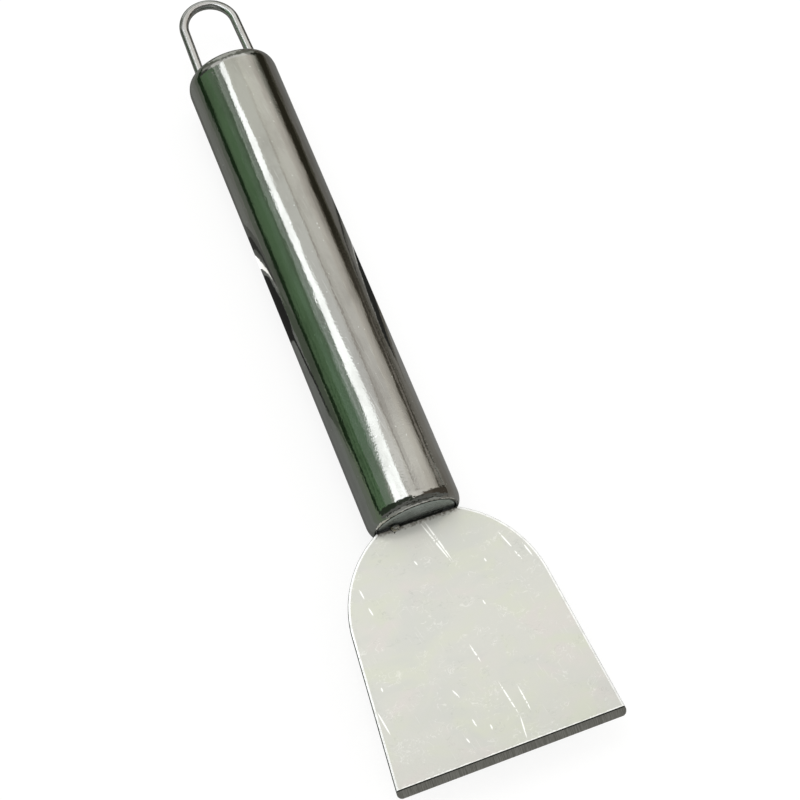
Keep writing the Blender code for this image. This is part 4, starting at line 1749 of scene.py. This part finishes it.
@dataclass(frozen=True)
class Studio:
    """Pale floor, plain soft lamps and a tent of cards for the polished steel to mirror."""

    origin: Vector
    tent_radius: float = 0.5
    layer_step: float = 14 * MM
    widest_deg: float = 26.0
    floor_size: float = 8.0
    floor_drop: float = 0.6 * MM
    floor_colour: str = "#f2f2f0"
    floor_roughness: float = 0.9
    # How much of the floor's shade is kept from the camera, so that it stays white.
    floor_white_share: float = 0.8
    floor_white: float = 1.03
    sky_light: float = 0.85
    mat_drop: float = 0.45 * MM
    mat_step: float = 0.1 * MM
    end_width: float = 0.6
    end_height: float = 0.9
    fleck_size: Size = (18, 4, 18)
    fleck_levels: tuple[float, float] = (0.5, 0.64)
    dark_fleck: Light = (0.18, 0.26, 0.2)
    light_fleck: Light = (3.2, 2.7, 3.3)
    light_fleck_shift: float = 0.31
    fleck_detail: float = 4.0

    def fleck_tints(self) -> tuple[tuple[Light, float], ...]:
        """Give the tint of each kind of fleck, with the shift of its pattern."""
        return ((self.dark_fleck, 0.0), (self.light_fleck, self.light_fleck_shift))

    def glow(
        self, name: str, lights: tuple[Light, Light], fade: Fade = Fade.ACROSS, flecks: float = 0.0
    ) -> Material:
        """Make a card's glow.

        Args:
            name: The material's name.
            lights: Its colours at the two ends of its fade.
            fade: Which way it fades.
            flecks: How strong its flecks are, as a share of its light.

        Returns:
            The material.
        """
        material = bpy.data.materials.new(name)
        material.use_nodes = True
        tree = material.node_tree
        tree.nodes.clear()
        coordinates = add_node(tree, "ShaderNodeTexCoord").outputs
        split = add_node(tree, "ShaderNodeSeparateXYZ", None, {0: coordinates["UV"]})
        ends = {6: (*lights[0], 1.0), 7: (*lights[1], 1.0)}
        colours = {"data_type": "RGBA"}
        glow = add_node(tree, "ShaderNodeMix", colours, {0: split.outputs[fade.value], **ends})
        for tint, shift in self.fleck_tints() if flecks else ():
            pattern = Noise(self.fleck_size, self.fleck_levels, self.fleck_detail, shift=shift)
            noise = pattern.add(tree, coordinates["Object"])
            share = add_node(tree, "ShaderNodeMath", {"operation": "MULTIPLY"}, {0: noise, 1: flecks})
            multiply = {**colours, "blend_type": "MULTIPLY", "clamp_result": False}
            inputs = {0: share.outputs[0], 6: glow.outputs[2], 7: (*tint, 1.0)}
            glow = add_node(tree, "ShaderNodeMix", multiply, inputs)
        emission = add_node(tree, "ShaderNodeEmission", None, {"Color": glow.outputs[2], "Strength": 1.0})
        add_node(tree, "ShaderNodeOutputMaterial", None, {"Surface": emission.outputs[0]})
        return material

    def hang(self, name: str, corners: list[Vector], material: Material) -> None:
        """Hang a flat card by its four corners, and hide it from everything but reflections.

        Args:
            name: The card's name.
            corners: Near left, near right, far left and far right.
            material: Its glow.
        """
        deselect()
        bpy.ops.mesh.primitive_plane_add(size=2)
        card = named(name)
        for number, corner in enumerate(corners):
            start = Vector(((-1, 1)[number % 2], (-1, 1)[number // 2], 0))
            pick(card, "VERT", lambda point: point.index == number)
            bpy.ops.transform.translate(value=corner - start)
        leave_edit()
        paint(card, material)
        for kind in ("camera", "diffuse", "transmission", "shadow"):
            setattr(card, f"visible_{kind}", False)

    def on_tent(self, angle_deg: float, along: float, layer: int) -> Vector:
        """Find a point on the tent.

        Args:
            angle_deg: Its angle round the handle's axis.
            along: Its place along the handle.
            layer: The layer that it lies on.

        Returns:
            The point, in the frame.
        """
        angle = math.radians(angle_deg)
        radius = self.tent_radius - layer * self.layer_step
        return self.origin + Vector((radius * math.sin(angle), along, radius * math.cos(angle)))

    def tent(self) -> None:
        """Put up the tent's cards."""
        cards = [*BACKING, *LEFT_CARDS, *window_cards(), *RIGHT_CARDS, *BLADE_CARDS, *LOOP_CARDS]
        for number, card in enumerate(cards):
            near, far = card.sides, card.far_sides or card.sides
            lights = (card.light, card.fades_to or card.light)
            material = self.glow(f"card_{number}", lights, card.fade, card.flecks)
            spans = 1 if card.fades_to else math.ceil((near[1] - near[0]) / self.widest_deg)
            for span in range(spans):
                corners = []
                for edge, along in ((near, card.ends[0]), (far, card.ends[1])):
                    for share in (span / spans, (span + 1) / spans):
                        angle = edge[0] + (edge[1] - edge[0]) * share
                        corners.append(self.on_tent(angle, along, card.layer))
                self.hang(f"card_{number}_{span}", corners, material)

    def floor_strips(self) -> None:
        """Lay the strips that the handle's sides mirror, and stand a card at each end of the tent."""
        for number, strip in enumerate([*mats(), *STRAP, *LOW_FURNITURE]):
            height = -self.mat_drop + strip.layer * self.mat_step
            corners = [Vector((x, self.origin.y + y, height)) for x, y in strip.corners]
            self.hang(f"strip_{number}", corners, self.glow(f"strip_{number}", (strip.light, strip.light)))
        for name, along, light in TENT_ENDS:
            sides, heights = (-self.end_width, self.end_width), (0.0, self.end_height)
            corners = [Vector((x, along, z)) for z in heights for x in sides]
            self.hang(name, corners, self.glow(name, (light, light)))

    def looked_at(self, tree: bpy.types.NodeTree) -> Socket:
        """Tell rays from the camera, also by way of a mirror, from those that gather light.

        Args:
            tree: The node tree.

        Returns:
            1 on rays from the camera and on mirrored ones, and 0 on others.
        """
        path = add_node(tree, "ShaderNodeLightPath").outputs
        seen = path["Is Camera Ray"]
        for ray in ("Is Glossy Ray", "Is Transmission Ray"):
            either = {0: seen, 1: path[ray]}
            seen = add_node(tree, "ShaderNodeMath", {"operation": "MAXIMUM"}, either).outputs[0]
        return seen

    def floor(self) -> None:
        """Lay the pale floor, which stays white to the camera and keeps the scraper's shadow."""
        deselect()
        bpy.ops.mesh.primitive_plane_add(size=self.floor_size, location=(0, 0, -self.floor_drop))
        ground = named("floor")
        material = bpy.data.materials.new("pale_floor")
        material.use_nodes = True
        tree = material.node_tree
        shader = tree.nodes["Principled BSDF"]
        shader.inputs["Base Color"].default_value = linear(self.floor_colour)
        shader.inputs["Roughness"].default_value = self.floor_roughness
        shader.inputs["Specular IOR Level"].default_value = 0.0
        shares = {0: self.looked_at(tree), 1: self.floor_white_share}
        share = add_node(tree, "ShaderNodeMath", {"operation": "MULTIPLY"}, shares)
        white = {"Color": (1.0, 1.0, 1.0, 1.0), "Strength": self.floor_white}
        glow = add_node(tree, "ShaderNodeEmission", None, white)
        both = {0: share.outputs[0], 1: shader.outputs[0], 2: glow.outputs[0]}
        mixed = add_node(tree, "ShaderNodeMixShader", None, both)
        tree.links.new(mixed.outputs[0], tree.nodes["Material Output"].inputs["Surface"])
        paint(ground, material)

    def world(self) -> None:
        """Light the floor evenly, and show white behind everything."""
        world = bpy.data.worlds.new("studio_world")
        bpy.context.scene.world = world
        world.use_nodes = True
        tree = world.node_tree
        background = tree.nodes["Background"]
        background.inputs["Color"].default_value = (1.0, 1.0, 1.0, 1.0)
        levels = {"Value": self.looked_at(tree), "To Min": self.sky_light, "To Max": 1.0}
        strength = add_node(tree, "ShaderNodeMapRange", None, levels)
        tree.links.new(strength.outputs[0], background.inputs["Strength"])

    def lamps(self) -> None:
        """Hang two soft lamps, a large one above and a smaller one at the side."""
        for name, place, size, power in LAMPS:
            deselect()
            bpy.ops.object.light_add(type="AREA", location=place)
            lamp = bpy.context.active_object
            lamp.name = name
            lamp.data.shape = "SQUARE"
            lamp.data.size = size
            lamp.data.energy = power
            lamp.visible_glossy = False
            lamp.rotation_mode = "QUATERNION"
            lamp.rotation_quaternion = (self.origin - Vector(place)).to_track_quat("-Z", "Y")

    def build(self) -> None:
        """Set up the whole studio."""
        self.floor()
        self.world()
        self.lamps()
        self.tent()
        self.floor_strips()
        bpy.context.scene.view_settings.view_transform = "Standard"
        LOG.info("studio ready")


@dataclass(frozen=True)
class PhotoCamera:
    """The camera at the photograph's angle and distance, fitted to the outlines of handle and blade."""

    origin: Vector
    focal_px: float = 2025.0
    frame_px: float = 800.0
    sensor_mm: float = 36.0
    tilt_deg: float = -20.43
    roll_deg: float = 13.11
    turn_deg: float = -23.0
    end_px: Place = (416.54, 520.38)
    distance: float = 509.16 * MM
    nearest: float = 10 * MM

    def build(self) -> None:
        """Place the camera and make it the scene's own."""
        tilt = Matrix.Rotation(math.radians(self.tilt_deg), 3, "X")
        roll = Matrix.Rotation(math.radians(self.roll_deg), 3, "Y")
        turn = Matrix.Rotation(math.radians(self.turn_deg), 3, "Z")
        looking_down = Matrix(((1, 0, 0), (0, -1, 0), (0, 0, -1)))
        view = turn @ tilt @ looking_down @ roll
        half, scale = self.frame_px / 2, self.distance / self.focal_px
        end = Vector(((self.end_px[0] - half) * scale, (self.end_px[1] - half) * scale, self.distance))
        place = self.origin - view.transposed() @ end
        axes = (looking_down @ view).transposed()
        data = bpy.data.cameras.new("photo_camera")
        data.sensor_width = self.sensor_mm
        data.lens = self.focal_px * self.sensor_mm / self.frame_px
        data.clip_start = self.nearest
        camera = bpy.data.objects.new("photo_camera", data)
        bpy.context.scene.collection.objects.link(camera)
        camera.matrix_world = Matrix.Translation(place) @ axes.to_4x4()
        bpy.context.scene.camera = camera
        LOG.info("camera at %.3f %.3f %.3f", *place)


def main() -> None:
    logging.basicConfig(level=logging.INFO)
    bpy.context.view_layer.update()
    low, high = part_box("handle_tube")
    origin = Vector((0, low.y, (low.z + high.z) / 2))
    PhotoCamera(origin).build()
    Scraper(origin, high.y - low.y).build()
    Studio(origin).build()
    deselect()


if __name__ == "__main__":
    main()
